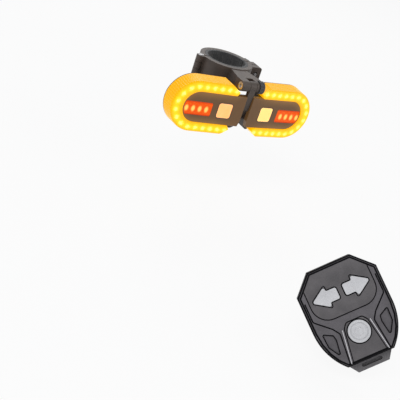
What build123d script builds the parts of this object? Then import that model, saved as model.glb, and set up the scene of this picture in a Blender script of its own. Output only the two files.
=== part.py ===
from build123d import *
import math
import os

# A bicycle turn signal lamp with two amber pods, its hinged clamp for a seat post and the
# wireless remote of the set. Sizes are in millimetres and angles in degrees.
# The origin is the middle of the clamp's bore, +Z runs up the seat post and the lenses face -Y.
# The lamp head is drawn in its own frame first: x to the right, y up, z out of the lenses, with
# its origin in the middle of the lens faces. Depths there are counted back from the lens face.

# Seat post clamp
post_radius = 13.6
post_slack = 0.05
liner_wall = 1.95
ring_wall = 3.2
clamp_height = 14.0
half_gap = 0.5
liner_fit = 0.05
knuckle_radius = 2.7
knuckle_out = 2.2
knuckle_slack = 0.3
hoop_knuckle = 4.6
pin_radius = 1.2
pin_fit = 0.03
running_fit = 0.05
pin_head_radius = 1.9
pin_head = 0.7
pin_dish_radius = 1.3
pin_dish_deep = 0.35
ear_out = 4.5
ear_reach = 4.4
ear_depth = 5.0
ear_height = 10.6
ear_round = 1.6
screw_radius = 1.5
screw_free = 0.4
screw_tip = 6.0
screw_point = 1.2
grip_radius = 5.0
grip_length = 7.0
grip_gap = 0.3
flute_count = 10
flute_radius = 0.9
nut_side = 5.4
nut_height = 2.4
nut_set_in = 0.9
part_fit = 0.08

# Where the lamp head hangs
face_ahead = 42.0
lamp_drop = 14.0
barrel_back = 4.5
barrel_up = 17.0
barrel_radius = 3.5
barrel_half = 8.6
stem_half = 2.35
fork_slack = 0.25
fork_right = 4.6
arm_half_end = 6.2
arm_height = 7.0
arm_round = 1.0
bolt_radius = 1.5
bolt_head_radius = 2.6
bolt_head = 1.8
knob_radius = 4.3
knob_slack = 0.2
knob_clear = 0.4
knob_flute = 0.5
slot_behind = 5.4

# Pods of the lamp head
pod_reach = 55.0
pod_half = 17.4
pod_turn = 3.0
side_depth = 11.6
side_flare = 0.8
face_round = 1.6
band_side = 6.55
bar_half = pod_half - band_side
band_wide = 7.9
bar_reach = pod_reach - band_wide
gap_half = 2.6
tip_x = 9.2
tip_y = 13.3
end_x = 15.0
facet_x = 10.8
lens_front = 1.6
lens_wall = 1.4
pod_start = -2.0
far = 90.0
over = 1.0
seal_thick = 0.6
back_depth = 19.0
back_lean = 38.0
back_wall = 1.6
island_wall = 1.0
panel_set = 0.4
panel_thick = 3.2
panel_round = 0.6
part_gap = 0.15
corner_drop = 6.3
foot = [(4.0, 12.2), (6.0, 13.4), (7.8, 13.4)]
foot_top = 10.0
notch_x = 9.1
notch_low = 8.0
notch_lower = 5.0
notch_front = 5.0
notch_rear = 10.0
pocket_x = 10.4

# Windows, boards and lamps inside a pod
square_share = 0.3482
square_y = -0.6
square_side = 10.2
square_round = 1.5
red_in_share = 0.552
red_y = -0.9
red_half = 4.7
red_rim = 0.9
red_round = 1.2
window_set = 0.5
window_fit = 0.05
flange = 0.8
flange_thick = 0.8
red_share = 0.7877
red_pitch_share = 0.1019
red_led_y = -1.2
red_led_wide = 2.8
red_led_high = 4.2
red_led_tall = 2.0
red_count = 4
red_board_depth = 7.4
board_thick = 1.0
chip_side = 3.4
chip_tall = 1.0
amber_board_depth = 8.6
amber_count = 8
amber_pitch_share = 0.1
amber_long = 2.2
amber_wide = 1.7
amber_tall = 0.9
boss_steps = (-5, 0, 5)
boss_radius = 1.4
boss_slack = 0.15
small_screw = 0.8
small_head = 1.5
small_head_tall = 1.1
small_seat = 2.0
small_fit = 0.05

# Inside the rear housings
cell_clear = 3.2
cell_out_share = 0.8832
cell_half = 8.4
cell_gap_front = 1.2
cell_gap_back = 0.8
cell_round = 2.0
main_in = 12.0
main_share = 0.5737
parts_on_board = [(0.7, 3.2, 7.0, 7.0, 1.2), (0.722, -4.6, 5.0, 4.0, 1.6), (0.573, 4.0, 3.0, 3.0, 2.2)]
antenna_share = 0.862
antenna_side = 2.2
antenna_long = 15.0
antenna_tall = 1.4
button_x = 15.8
button_radius = 3.6
button_rim = 4.5
button_rim_thick = 0.7
button_proud = 1.1
button_fit = 0.1
button_travel = 0.6
button_dish = 0.35
switch_side = 6.0
switch_body = 3.5
stem_radius = 1.7
port_x = 17.0
port_wide = 9.0
port_high = 3.2
port_skin = 0.3
port_set = 1.7
port_fit = 0.1
port_hollow_share = 0.8
tongue_wide = 6.6
tongue_high = 0.7
recess_wide = 9.8
recess_high = 4.2
plug_slack = 0.25
plug_long = 1.3
flap_wide = 12.0
flap_high = 6.4
flap_thick = 1.3
flap_gap = 0.1
flap_lift = 6.2

# Centre spine between the pods
spine_low = -9.3
spine_top = 4.6
spine_face = 9.2
flange_half = 8.9
spine_plate = 2.2
spine_plate_top = 2.0
spine_clear = 0.6
spine_round = 1.2
brow = [(15.6, 1.2), (10.6, 1.5), (1.0, 2.2)]
nape = [(4.6, 13.0), (6.4, 6.0), (8.4, 4.3), (13.8, 4.3)]
spine_screw_x = 6.3
spine_screw_y = (-6.7, -0.3)
spine_screw_radius = 1.0
spine_screw_head = 1.9
spine_head_tall = 1.2
spine_screw_reach = 6.6
cable_y = -3.45
cable_high = 3.0
cable_thick = 0.9
cable_share = 0.768
cable_reach = 11.0
cable_slack = 0.25

# Remote
remote_at = (-22.9, -209.2, -43.5)
remote_facing = -43.3
remote_tilt = 28.5
remote_roll = 46.7
crown_half = 11.7
crown_top = 26.5
shoulder_half = 21.6
shoulder_top = 16.4
hip_top = -3.0
flank = (18.9, -15.4)
chin_half = 12.4
chin = -24.6
tab_half = 12.2
tab_low_half = 8.4
tab_low = -30.0
tab_thick = 3.2
tab_back = 9.6
slot_half = 5.6
slot_high = 1.8
slot_y = -27.4
slot_floor = 0.8
remote_thick = 13.0
parting = 6.6
parting_gap = 0.05
remote_wall = 1.7
face_wall = 2.6
remote_bevel = 1.1
back_bevel = 2.4
plate_thick = 0.8
plate_rim = 1.1
plate_gap = 0.12
plate_bevel = 0.3
bib_half = 17.3
bib_corner = 8.8
bib_low = 0.2
crown_rim = 1.2
lower_top = -3.8
lower_top_half = 4.4
lower_shoulder = -6.4
lower_shoulder_half = 6.4
lower_low_half = 9.1
lower_low = -23.6
lower_round = 2.0
groove_wide = 0.7
groove_deep = 0.5
groove_round = 2.0
groove = [(19.2, 12.6), (19.2, 2.6), (11.7, -4.2), (9.2, -7.8), (10.9, -23.8)]
gill = [(17.6, -4.6), (12.7, -7.2), (12.2, -9.8), (13.4, -18.0), (17.2, -11.8)]
gill_deep = 0.7
gill_round = 0.6
arrow_y = 11.4
arrow_tip = 15.6
arrow_base = 7.0
arrow_head = 5.6
arrow_shaft = 3.0
arrow_in = 1.7
arrow_round = 0.9
key_gap = 0.2
key_proud = 0.5
key_travel = 0.7
key_rim = 0.7
key_rim_thick = 0.8
key_under = 0.2
round_y = -10.2
round_radius = 5.7
round_ring = 4.2
round_ring_wide = 0.5
round_ring_deep = 0.3
mat_thick = 0.8
dome_radius = 2.6
dome_tall = 0.4
dome_x = 8.0
remote_board_gap = 0.2
board_inset = 2.2
cell_radius = 10.0
cell_tall = 3.2
cell_y = -1.0
cell_gap = 0.3
contact_wide = 4.0
contact_thick = 0.25
contact_long = 17.0
door_radius = 11.2
door_lip = 12.2
door_fit = 0.08
door_lip_thick = 0.7
door_slot_long = 11.0
door_slot_wide = 1.6
door_slot_deep = 0.8
ring_section = 0.45
boss_spots = [(13.4, 18.6), (13.2, -16.2)]
remote_boss = 2.0
remote_floor = 1.5
remote_screw_end = 5.0


def slab(outline, front, back):
    """A flat outline made solid between two depths behind its face."""
    return extrude(Pos(0, 0, -back) * outline, amount=back - front, dir=(0, 0, 1))


def rod(radius, x, y, front, back):
    """A round bar along z between two depths."""
    return slab(Pos(x, y) * Circle(radius), front, back)


def shaft(radius, x_low, x_high, y, z):
    """A round bar along x."""
    return Pos(x_low, y, z) * (Rotation(0, 90, 0) * extrude(Circle(radius), amount=x_high - x_low))


def polygon(points):
    """A face with straight sides."""
    return make_face(Polyline(*points, close=True))


def block(x_low, x_high, y_low, y_high, front, back):
    """A box between two corners, with depths behind the face."""
    size = (x_high - x_low, y_high - y_low, back - front)
    middle = ((x_low + x_high) / 2, (y_low + y_high) / 2, -(front + back) / 2)
    return Pos(*middle) * Box(*size)


def nosed(half, reach, start):
    """A bar of the given half height whose outer end is a half circle."""
    nose = reach - half
    return make_face([
        Line((start, half), (nose, half)),
        ThreePointArc((nose, half), (reach, 0), (nose, -half)),
        Line((nose, -half), (start, -half)),
        Line((start, -half), (start, half)),
    ])


# Places inside a pod, which follow its reach and its depth

square_x = bar_reach * square_share
red_in = bar_reach * red_in_share
red_x = bar_reach * red_share
red_pitch = bar_reach * red_pitch_share
amber_pitch = pod_reach * amber_pitch_share
cell_in = button_x + switch_side / 2 + cell_clear
cell_out = bar_reach * cell_out_share
cell_front = red_board_depth + board_thick + cell_gap_front
cell_back = back_depth - back_wall - cell_gap_back
main_depth = back_depth * main_share
antenna_x = bar_reach * antenna_share
cable_depth = back_depth * cable_share
spine_screw_end = back_depth - spine_screw_reach


# Outlines of a pod

TURN = Rotation(0, pod_turn, 0)
end_slope = (end_x - tip_x) / (pod_half - tip_y)
island_half = bar_half - part_gap
island_reach = bar_reach - part_gap
pocket_half = island_half - island_wall
pocket_reach = island_reach - island_wall
panel_back = panel_set + panel_thick
shelf = side_depth + seal_thick
band_half = (pod_half + bar_half) / 2
band_nose = pod_reach - pod_half
band_radius = (pod_reach + bar_reach) / 2 - band_nose


def end_region(inset):
    """What lies outward of the pointed ends of the amber band, in line with the lamp's own axes."""
    rise = far - tip_y
    outline = polygon([
        (tip_x, tip_y), (tip_x + rise * end_slope, far), (far * 2, far), (far * 2, -far),
        (tip_x + rise * end_slope, -far), (tip_x, -tip_y), (facet_x, -bar_half), (facet_x, bar_half),
    ])
    grown = offset(outline, -inset, kind=Kind.INTERSECTION) if inset else outline
    return slab(grown, -far, far)


def keep_region(inset):
    """What lies outward of the gap between the pods, with the foot at its lower inner corner."""
    corner = [(x + inset, -y) for x, y in foot]
    outline = [(gap_half + inset, far), (gap_half + inset, -corner_drop)] + corner
    outline += [(foot[-1][0] + inset, -far), (far, -far), (far, far)]
    return slab(polygon(outline), -far, far)


def amber_ring(inset):
    """The C of the amber band, drawn in on all sides, as a face without its pointed ends."""
    outer = nosed(pod_half - inset, pod_reach - inset, pod_start)
    return outer - nosed(bar_half + inset, bar_reach + inset, pod_start - over)


def pod_bar(inset, start):
    """The bar shaped field inside the C."""
    return nosed(bar_half - inset, bar_reach - inset, start)


def band_point(along):
    """A point on the middle line of the amber band, counted up from its outer end, and its angle."""
    quarter = band_radius * math.pi / 2
    side = 1 if along >= 0 else -1
    if abs(along) <= quarter:
        turn = along / band_radius
        return band_nose + band_radius * math.cos(turn), band_half * math.sin(turn), math.degrees(turn) + 90
    return band_nose - (abs(along) - quarter), side * band_half, 0


def led_points():
    """Places and angles of the amber lamps of one pod."""
    steps = [side * (number + 1 / 2) for side in (1, -1) for number in range(amber_count)]
    return [band_point(step * amber_pitch) for step in steps]


def boss_points():
    """Places of the screw bosses of one lens, halfway between two amber lamps."""
    return [band_point(step * amber_pitch)[:2] for step in boss_steps]


def red_face(grow):
    """The red window's outline, whose outer end follows the C."""
    high = 2 * (red_half + grow)
    low_x = red_in - grow
    plain = Pos((low_x + bar_reach) / 2, red_y) * RectangleRounded(bar_reach - low_x, high, red_round)
    return plain & nosed(bar_half - red_rim + grow, bar_reach - red_rim + grow, 0)


def square_face(grow):
    """The pale square window's outline."""
    side = square_side + 2 * grow
    return Pos(square_x, square_y) * RectangleRounded(side, side, square_round)


# Pieces of the right pod; the left one is its mirror image


def lens():
    """The amber C with hollow walls, pointed ends and three bosses."""
    flare = math.degrees(math.atan(side_flare / side_depth))
    outside = extrude(nosed(pod_half, pod_reach, pod_start), amount=side_depth, dir=(0, 0, -1), taper=-flare)
    outside = fillet(outside.edges().group_by(Axis.Z)[-1], face_round)
    body = TURN * outside & end_region(0)
    body -= TURN * slab(pod_bar(0, pod_start - over), -over, side_depth + over)
    hollow = TURN * slab(amber_ring(lens_wall), lens_front, side_depth + over) & end_region(lens_wall)
    for x, y in boss_points():
        hollow -= TURN * rod(boss_radius, x, y, 0, side_depth + over)
    body -= hollow
    for x, y in boss_points():
        body -= TURN * rod(small_screw + small_fit, x, y, lens_front, side_depth + over)
    return body


def lens_seal():
    """The flat silicone seal between the lens and the rear housing."""
    outline = nosed(pod_half + side_flare - part_gap, pod_reach + side_flare - part_gap, pod_start)
    outline -= nosed(bar_half, bar_reach, pod_start - over)
    ring = TURN * slab(outline, side_depth, shelf) & end_region(part_gap)
    for x, y in boss_points():
        ring -= TURN * rod(small_screw + boss_slack, x, y, side_depth - over, shelf + over)
    return ring


def notches(grow):
    """Room above the pods' inner ends for the arm, stepped down towards the back."""
    room = block(-notch_x, notch_x + grow, notch_low - grow, far, notch_front - grow, far)
    return room + block(-notch_x, notch_x + grow, notch_lower - grow, far, notch_rear - grow, far)


def housing():
    """The rear housing without the holes that differ between the sides."""
    outline = nosed(pod_half + side_flare, pod_reach + side_flare, pod_start)
    wedge = extrude(Pos(0, 0, -shelf) * outline, amount=back_depth - shelf, dir=(0, 0, -1), taper=back_lean)
    body = TURN * wedge & end_region(0)
    body += TURN * slab(pod_bar(part_gap, pod_start), panel_back, back_depth)
    body += TURN * block(0, foot[-1][0], -foot[-1][1], -foot_top, panel_back, back_depth)
    body = body & keep_region(0)
    body -= notches(0)
    body -= TURN * slab(nosed(pocket_half, pocket_reach, pocket_x), panel_back - over, back_depth - back_wall)
    for x, y in boss_points():
        body -= TURN * rod(small_screw + boss_slack, x, y, shelf - over, far)
        body -= TURN * rod(small_head + boss_slack, x, y, shelf + small_seat, far)
    for y in spine_screw_y:
        body -= rod(spine_screw_radius + small_fit, spine_screw_x, y, spine_screw_end - over, far)
    high = cable_high / 2 + cable_slack
    deep = cable_thick / 2 + cable_slack
    body -= block(0, cable_reach + over, cable_y - high, cable_y + high, cable_depth - deep, cable_depth + deep)
    return body


def lens_screws():
    """Screws that hold one lens, from behind."""
    group = []
    for x, y in boss_points():
        head = rod(small_head, x, y, shelf + small_seat, shelf + small_seat + small_head_tall)
        head -= slab(Pos(x, y) * Rectangle(small_head, small_fit * 8), shelf + small_seat + small_head_tall / 2, far)
        group.append(TURN * (head + rod(small_screw, x, y, lens_front + over, shelf + small_seat)))
    return group


def panel():
    """The glossy dark field inside the C, with its two windows cut out."""
    plate = slab(pod_bar(part_gap, pod_start), panel_set, panel_back)
    plate = fillet(plate.edges().group_by(Axis.Z)[-1], panel_round)
    plate -= slab(square_face(0), -over, far) + slab(red_face(0), -over, far)
    return TURN * plate & keep_region(0)


def window(face):
    """A clear insert with a thin flange behind the panel."""
    rim = slab(face(flange), panel_back, panel_back + flange_thick)
    rim = rim & slab(nosed(pocket_half - part_gap, pocket_reach - part_gap, pocket_x), 0, far)
    return TURN * (slab(face(-window_fit), window_set, panel_back) + rim)


def amber_board():
    """The C shaped circuit board of the amber lamps."""
    inset = lens_wall + part_gap
    board = TURN * slab(amber_ring(inset), amber_board_depth, amber_board_depth + board_thick)
    board = board & end_region(inset)
    for x, y in boss_points():
        board -= TURN * rod(boss_radius + boss_slack, x, y, 0, far)
    return board


def amber_leds():
    """Sixteen small lamps along the C."""
    group = []
    for x, y, angle in led_points():
        outline = Pos(x, y) * Rot(0, 0, angle) * RectangleRounded(amber_long, amber_wide, amber_wide / 3)
        group.append(TURN * slab(outline, amber_board_depth - amber_tall, amber_board_depth))
    return group


def red_board():
    """The board behind the windows."""
    outline = nosed(pocket_half - part_gap, pocket_reach - part_gap, pocket_x + part_gap)
    return TURN * slab(outline, red_board_depth, red_board_depth + board_thick)


def red_leds():
    """Four oval lamps behind the red window."""
    group = []
    for number in range(red_count):
        x = red_x + (number - (red_count - 1) / 2) * red_pitch
        outline = Pos(x, red_led_y) * RectangleRounded(red_led_wide, red_led_high, red_led_wide / 2 - small_fit)
        group.append(TURN * slab(outline, red_board_depth - red_led_tall, red_board_depth))
    return group


def square_led():
    """The single lamp behind the square window."""
    outline = Pos(square_x, square_y) * RectangleRounded(chip_side, chip_side, chip_tall / 3)
    return TURN * slab(outline, red_board_depth - chip_tall, red_board_depth)


# Pieces that only one side has


def left_housing(shell):
    """The power button's hole, drawn on the right before the piece is mirrored."""
    return shell - TURN * rod(button_radius + button_fit, button_x, 0, back_depth - back_wall - over, far)


def right_housing(shell):
    """The charging port's hole and its shallow recess."""
    recess = Pos(port_x, 0) * RectangleRounded(recess_wide, recess_high, recess_high / 3)
    wide = port_wide + 2 * port_fit
    high = port_high + 2 * port_fit
    hole = Pos(port_x, 0) * RectangleRounded(wide, high, high / 3)
    recess_floor = back_depth - plug_long - 2 * flap_gap
    shell -= TURN * slab(recess, recess_floor, far)
    return shell - TURN * slab(hole, back_depth - back_wall - over, far)


def power_button():
    """A rubber cap with a hidden rim, dished on top."""
    low = back_depth - back_wall - button_fit * 2
    cap = rod(button_radius, button_x, 0, low, back_depth + button_proud)
    cap = fillet(cap.edges().group_by(Axis.Z)[0], button_dish)
    return TURN * (cap + rod(button_rim, button_x, 0, low - button_rim_thick, low))


def power_switch():
    """A tall switch on the back of the left red board."""
    base = red_board_depth + board_thick
    half = switch_side / 2
    body = block(button_x - half, button_x + half, -half, half, base, base + switch_body)
    stem_end = back_depth - back_wall - button_fit * 2 - button_rim_thick - button_travel - button_fit
    return TURN * (body + rod(stem_radius, button_x, 0, base + switch_body, stem_end))


def battery():
    """A flat lithium cell."""
    outline = Pos((cell_in + cell_out) / 2, 0) * RectangleRounded(cell_out - cell_in, 2 * cell_half, cell_round)
    cell = slab(outline, cell_front, cell_back)
    rims = cell.edges().group_by(Axis.Z)
    return TURN * fillet(rims[0] + rims[-1], cell_round / 2)


def main_board():
    """The control board with its larger parts."""
    outline = nosed(pocket_half - 2 * part_gap, pocket_reach - 2 * part_gap, main_in)
    back = main_depth + board_thick
    board = slab(outline, main_depth, back)
    for share, y, wide, high, tall in parts_on_board:
        x = bar_reach * share
        board += block(x - wide / 2, x + wide / 2, y - high / 2, y + high / 2, back, back + tall)
    return TURN * board


def antenna():
    """The receiver's ceramic antenna on the board's outer end."""
    back = main_depth + board_thick
    half = antenna_long / 2
    return TURN * block(antenna_x - antenna_side, antenna_x, -half, half, back, back + antenna_tall)


def port():
    """The charging socket that stands on the control board."""
    outline = Pos(port_x, 0) * RectangleRounded(port_wide, port_high, port_high / 3)
    hollow = Pos(port_x, 0) * RectangleRounded(port_wide - 2 * port_skin, port_high - 2 * port_skin, port_high / 3.5)
    base = main_depth + board_thick
    mouth = back_depth - port_set
    floor = mouth - (mouth - base) * port_hollow_share
    shell = slab(outline, base, mouth) - slab(hollow, floor, far)
    tongue = block(port_x - tongue_wide / 2, port_x + tongue_wide / 2, -tongue_high / 2, tongue_high / 2,
                   floor, mouth - over)
    return TURN * (shell + tongue)


def port_cover():
    """A rubber flap with a plug for the port's recess and a round bead at its hinge."""
    outer = back_depth + flap_gap
    bead_x = port_x + flap_lift
    low_x = port_x - flap_wide / 2
    flap = slab(Pos((low_x + bead_x) / 2, 0) * Rectangle(bead_x - low_x, flap_high), outer, outer + flap_thick)
    flap = fillet(flap.edges().filter_by(Axis.Z).group_by(Axis.X)[0], flap_high / 3)
    bead = Pos(bead_x, flap_high / 2, -outer - flap_thick / 2) * (Rotation(90, 0, 0) * Cylinder(
        flap_thick / 2, flap_high, align=(Align.CENTER, Align.CENTER, Align.MIN)))
    flap += bead
    plug = Pos(port_x, 0) * RectangleRounded(recess_wide - 2 * plug_slack, recess_high - 2 * plug_slack,
                                             recess_high / 3)
    return TURN * (flap + slab(plug, outer - plug_long, outer))


# The spine that joins the pods and carries them on the barrel


def spine():
    """The stem with its barrel knuckle, the web in the gap and the plate behind the pods."""
    side = [(y, -z) for y, z in brow] + [(spine_low, -spine_face), (spine_low, -back_plane)]
    side += [(spine_top, -back_plane)] + [(y, -z) for y, z in nape]
    web = extrude(Plane.YZ * polygon(side), amount=stem_half, both=True)
    body = web + shaft(barrel_radius, -stem_half, stem_half, barrel_up, -barrel_back)
    middle = (spine_low + spine_plate_top) / 2
    plate = slab(Pos(0, middle) * RectangleRounded(2 * flange_half, spine_plate_top - spine_low, spine_round),
                 back_plane, back_plane + spine_plate)
    plate = chamfer(plate.edges().group_by(Axis.Z)[0], spine_round / 2)
    body += plate
    body -= shaft(bolt_radius + running_fit, -far, far, barrel_up, -barrel_back)
    for x in (-spine_screw_x, spine_screw_x):
        for y in spine_screw_y:
            body -= rod(spine_screw_radius + boss_slack, x, y, back_plane - over, far)
            body -= rod(spine_screw_head + boss_slack, x, y, back_plane + spine_plate - spine_head_tall, far)
    high = cable_high / 2 + cable_slack
    deep = cable_thick / 2 + cable_slack
    return body - block(-far, far, cable_y - high, cable_y + high, cable_depth - deep, cable_depth + deep)


def spine_screws():
    """The four screws that hold the pods to the spine."""
    group = []
    seat = back_plane + spine_plate - spine_head_tall
    for x in (-spine_screw_x, spine_screw_x):
        for y in spine_screw_y:
            head = rod(spine_screw_head, x, y, seat, seat + spine_head_tall)
            head -= slab(Pos(x, y) * RegularPolygon(spine_screw_radius, 6), seat + spine_head_tall / 2, far)
            group.append(head + rod(spine_screw_radius, x, y, spine_screw_end, seat))
    return group


def link_cable():
    """The flat cable between the pods."""
    half = cable_high / 2
    deep = cable_thick / 2
    return block(-cable_reach, cable_reach, cable_y - half, cable_y + half, cable_depth - deep, cable_depth + deep)


# The mount, in the frame of the seat post

back_plane = back_depth + spine_clear
bore = post_radius + post_slack
ring_in = bore + liner_wall + liner_fit
ring_out = ring_in + ring_wall
hinge_x = -(ring_out + knuckle_out)
screw_x = ring_out + ear_out
barrel_y = -face_ahead + barrel_back
barrel_z = barrel_up - lamp_drop


def upright(outline, low, high):
    """A flat outline made solid between two heights."""
    return extrude(Pos(0, 0, low) * outline, amount=high - low, dir=(0, 0, 1))


def half_only(outline, side, split):
    """The part of an outline on one side of the clamp's parting line."""
    return outline - Pos(0, -side * (far - split)) * Rectangle(far * 2, far * 2)


def clamp_half(side):
    """One half of the ring with the block and the knuckle of its hinge and its lug."""
    half = clamp_height / 2
    wide = ring_out - ring_wall / 2 + hinge_x
    deep = knuckle_radius - half_gap
    web = Pos(hinge_x - wide / 2, side * (half_gap + deep / 2)) * Rectangle(abs(wide), deep)
    outline = half_only(Circle(ring_out), side, half_gap) + web + Pos(hinge_x, 0) * Circle(knuckle_radius)
    return upright(outline - Circle(ring_in), -half, half) + ear(side)


def ear(side):
    """The lug beside the ring that the thumb screw goes through."""
    half = ear_height / 2
    wide = ear_reach + ear_out + ring_wall / 2
    x = screw_x + ear_reach - wide / 2
    y = side * (half_gap + ear_depth / 2)
    lug = upright(Pos(x, y) * Rectangle(wide, ear_depth), -half, half)
    return fillet(lug.edges().filter_by(Axis.Y).group_by(Axis.X)[-1], ear_round)


def along_y(radius, x, y_low, y_high, z):
    """A round bar along y."""
    return Pos(x, y_high, z) * (Rotation(90, 0, 0) * extrude(Circle(radius), amount=y_high - y_low))


def mount_arm():
    """The fork round the barrel, the arm and the fixed half of the clamp."""
    arm = polygon([(-barrel_half, barrel_y), (barrel_half, barrel_y), (barrel_half, barrel_y + slot_behind + over),
                   (arm_half_end, -ring_out), (arm_half_end, -ring_in - over), (-arm_half_end, -ring_in - over),
                   (-arm_half_end, -ring_out), (-barrel_half, barrel_y + slot_behind + over)])
    half = arm_height / 2
    body = upright(arm, barrel_z - half, barrel_z + half)
    body += shaft(barrel_radius, -barrel_half, barrel_half, barrel_y, barrel_z)
    body += clamp_half(-1)
    room = barrel_radius + knob_clear
    slot = stem_half + fork_slack
    body -= Pos(0, barrel_y - room, barrel_z) * Box(2 * slot, 2 * (room + slot_behind), 4 * room)
    clear = knob_radius + knob_clear
    body -= shaft(clear, fork_right, far, barrel_y, barrel_z)
    body -= shaft(bolt_radius + pin_fit, -far, far, barrel_y, barrel_z)
    body -= shaft(bolt_head_radius + pin_fit, -far, -barrel_half + bolt_head, barrel_y, barrel_z)
    hoop_room = hoop_knuckle / 2 + knuckle_slack
    body -= upright(Pos(hinge_x, 0) * Circle(knuckle_radius + knuckle_slack), -hoop_room, hoop_room)
    body -= upright(Pos(hinge_x, 0) * Circle(pin_radius + pin_fit), -far, far)
    body -= along_y(screw_radius + screw_free, screw_x, -far, 0, 0)
    seat = -half_gap - nut_set_in
    side = nut_side + 2 * part_fit
    pocket = Pos(screw_x + far / 2 - side / 2, seat - nut_height / 2, 0) * Box(far, nut_height + 2 * part_fit, side)
    return body - pocket


def clamp_nut():
    """The square nut in the fixed lug."""
    y = -half_gap - nut_set_in - nut_height / 2
    nut = Pos(screw_x, y, 0) * Box(nut_side, nut_height, nut_side)
    return nut - along_y(screw_radius + screw_free, screw_x, -far, far, 0)


def clamp_hoop():
    """The half of the clamp that swings open."""
    body = clamp_half(1)
    high = far - hoop_knuckle / 2
    room = Circle(knuckle_radius + knuckle_slack)
    for side in (1, -1):
        low = hoop_knuckle / 2 if side > 0 else -far
        body -= upright(Pos(hinge_x, 0) * room, low, low + high)
    body -= upright(Pos(hinge_x, 0) * Circle(pin_radius + running_fit), -far, far)
    return body - along_y(screw_radius + running_fit, screw_x, 0, far, 0)


def hoop_pin():
    """The hinge pin with its two dished heads."""
    half = clamp_height / 2
    end = half + pin_head
    pin = upright(Pos(hinge_x, 0) * Circle(pin_radius), -end, end)
    for low in (-end, half):
        pin += upright(Pos(hinge_x, 0) * Circle(pin_head_radius), low, low + pin_head)
    dish = Pos(hinge_x, 0) * Circle(pin_dish_radius)
    return pin - upright(dish, end - pin_dish_deep, far) - upright(dish, -far, pin_dish_deep - end)


def post_liner(side):
    """A rubber liner inside one half of the clamp."""
    half = clamp_height / 2
    return upright(half_only(Circle(bore + liner_wall) - Circle(bore), side, half_gap + liner_fit), -half, half)


def clamp_screw():
    """The thumb screw's shank, with a tapered end."""
    grip = half_gap + ear_depth + grip_gap
    shank = along_y(screw_radius, screw_x, -screw_tip, grip + grip_length / 2, 0)
    return chamfer(shank.edges().group_by(Axis.Y)[0], screw_point, screw_point / 3)


def screw_grip():
    """The fluted grip of the thumb screw."""
    low = half_gap + ear_depth + grip_gap
    grip = along_y(grip_radius, screw_x, low, low + grip_length, 0)
    grip = chamfer(grip.edges().group_by(Axis.Y)[-1], grip_radius / 8)
    for number in range(flute_count):
        turn = 2 * math.pi * number / flute_count
        x = screw_x + grip_radius * math.cos(turn)
        grip -= along_y(flute_radius, x, low - over, low + grip_length + over, grip_radius * math.sin(turn))
    return grip - along_y(screw_radius + pin_fit, screw_x, low - over, low + grip_length / 2 + pin_fit, 0)


def tilt_bolt():
    """The bolt through the barrel."""
    bolt = shaft(bolt_radius, -barrel_half + bolt_head / 2, barrel_half - knob_radius / 4, barrel_y, barrel_z)
    bolt += shaft(bolt_head_radius, -barrel_half, -barrel_half + bolt_head, barrel_y, barrel_z)
    socket = extrude(RegularPolygon(bolt_radius, 6), amount=bolt_head)
    return bolt - Pos(-barrel_half - bolt_head / 3, barrel_y, barrel_z) * (Rotation(0, 90, 0) * socket)


def tilt_knob():
    """The locking knob at the barrel's right end."""
    low = fork_right + knob_slack
    knob = shaft(knob_radius, low, barrel_half, barrel_y, barrel_z)
    knob = fillet(knob.edges().group_by(Axis.X)[-1], knob_flute)
    for number in range(flute_count + 2):
        turn = 2 * math.pi * number / (flute_count + 2)
        y = barrel_y + (knob_radius + knob_flute / 3) * math.cos(turn)
        knob -= shaft(knob_flute, low - over, far, y, barrel_z + (knob_radius + knob_flute / 3) * math.sin(turn))
    return knob - shaft(bolt_radius + pin_fit, low - over, barrel_half - knob_radius / 4 + pin_fit, barrel_y, barrel_z)


# The remote, in its own frame: x across, y along, z out of its face


def remote_outline(grow):
    """The remote's outline, drawn in or out."""
    face = make_face([
        Line((-crown_half, crown_top), (crown_half, crown_top)),
        Line((crown_half, crown_top), (shoulder_half, shoulder_top)),
        Line((shoulder_half, shoulder_top), (shoulder_half, hip_top)),
        ThreePointArc((shoulder_half, hip_top), flank, (chin_half, chin)),
        Line((chin_half, chin), (-chin_half, chin)),
        ThreePointArc((-chin_half, chin), (-flank[0], flank[1]), (-shoulder_half, hip_top)),
        Line((-shoulder_half, hip_top), (-shoulder_half, shoulder_top)),
        Line((-shoulder_half, shoulder_top), (-crown_half, crown_top)),
    ])
    return offset(face, grow, kind=Kind.INTERSECTION) if grow else face


def bib(grow):
    """The upper plate's outline: straight at the crown and U shaped below."""
    half = bib_half + grow
    low = bib_low - grow
    top = crown_top + over * 2
    plain = polygon([(-half, top), (half, top), (half, low), (-half, low)])
    plain = fillet(plain.vertices().group_by(Axis.Y)[0], bib_corner)
    return plain & remote_outline(grow - crown_rim)


def apron(grow):
    """The lower plate's outline."""
    points = [(lower_top_half, lower_top), (lower_shoulder_half, lower_shoulder), (lower_low_half, lower_low)]
    outline = polygon(points + [(-x, y) for x, y in reversed(points)])
    upper = [corner for corner in outline.vertices() if corner.Y > lower_low + over]
    outline = fillet(upper, lower_round)
    return offset(outline, grow, kind=Kind.INTERSECTION) if grow else outline


def arrow(side, grow):
    """An arrow that points outwards on the given side."""
    points = [(arrow_in, arrow_shaft), (arrow_base, arrow_shaft), (arrow_base, arrow_head), (arrow_tip, 0),
              (arrow_base, -arrow_head), (arrow_base, -arrow_shaft), (arrow_in, -arrow_shaft)]
    outline = Pos(0, arrow_y) * polygon([(side * x, y) for x, y in points])
    outline = fillet(outline.vertices(), arrow_round)
    return offset(outline, grow) if grow else outline


def round_key_face(grow):
    """The round key's outline."""
    return Pos(0, round_y) * Circle(round_radius + grow)


def both_sides(points):
    """Points and their mirror images across the remote's middle."""
    return points + [(-x, y) for x, y in points]


def key_holes(grow):
    """The outlines of the three keys together."""
    return arrow(1, grow) + arrow(-1, grow) + round_key_face(grow)


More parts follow.
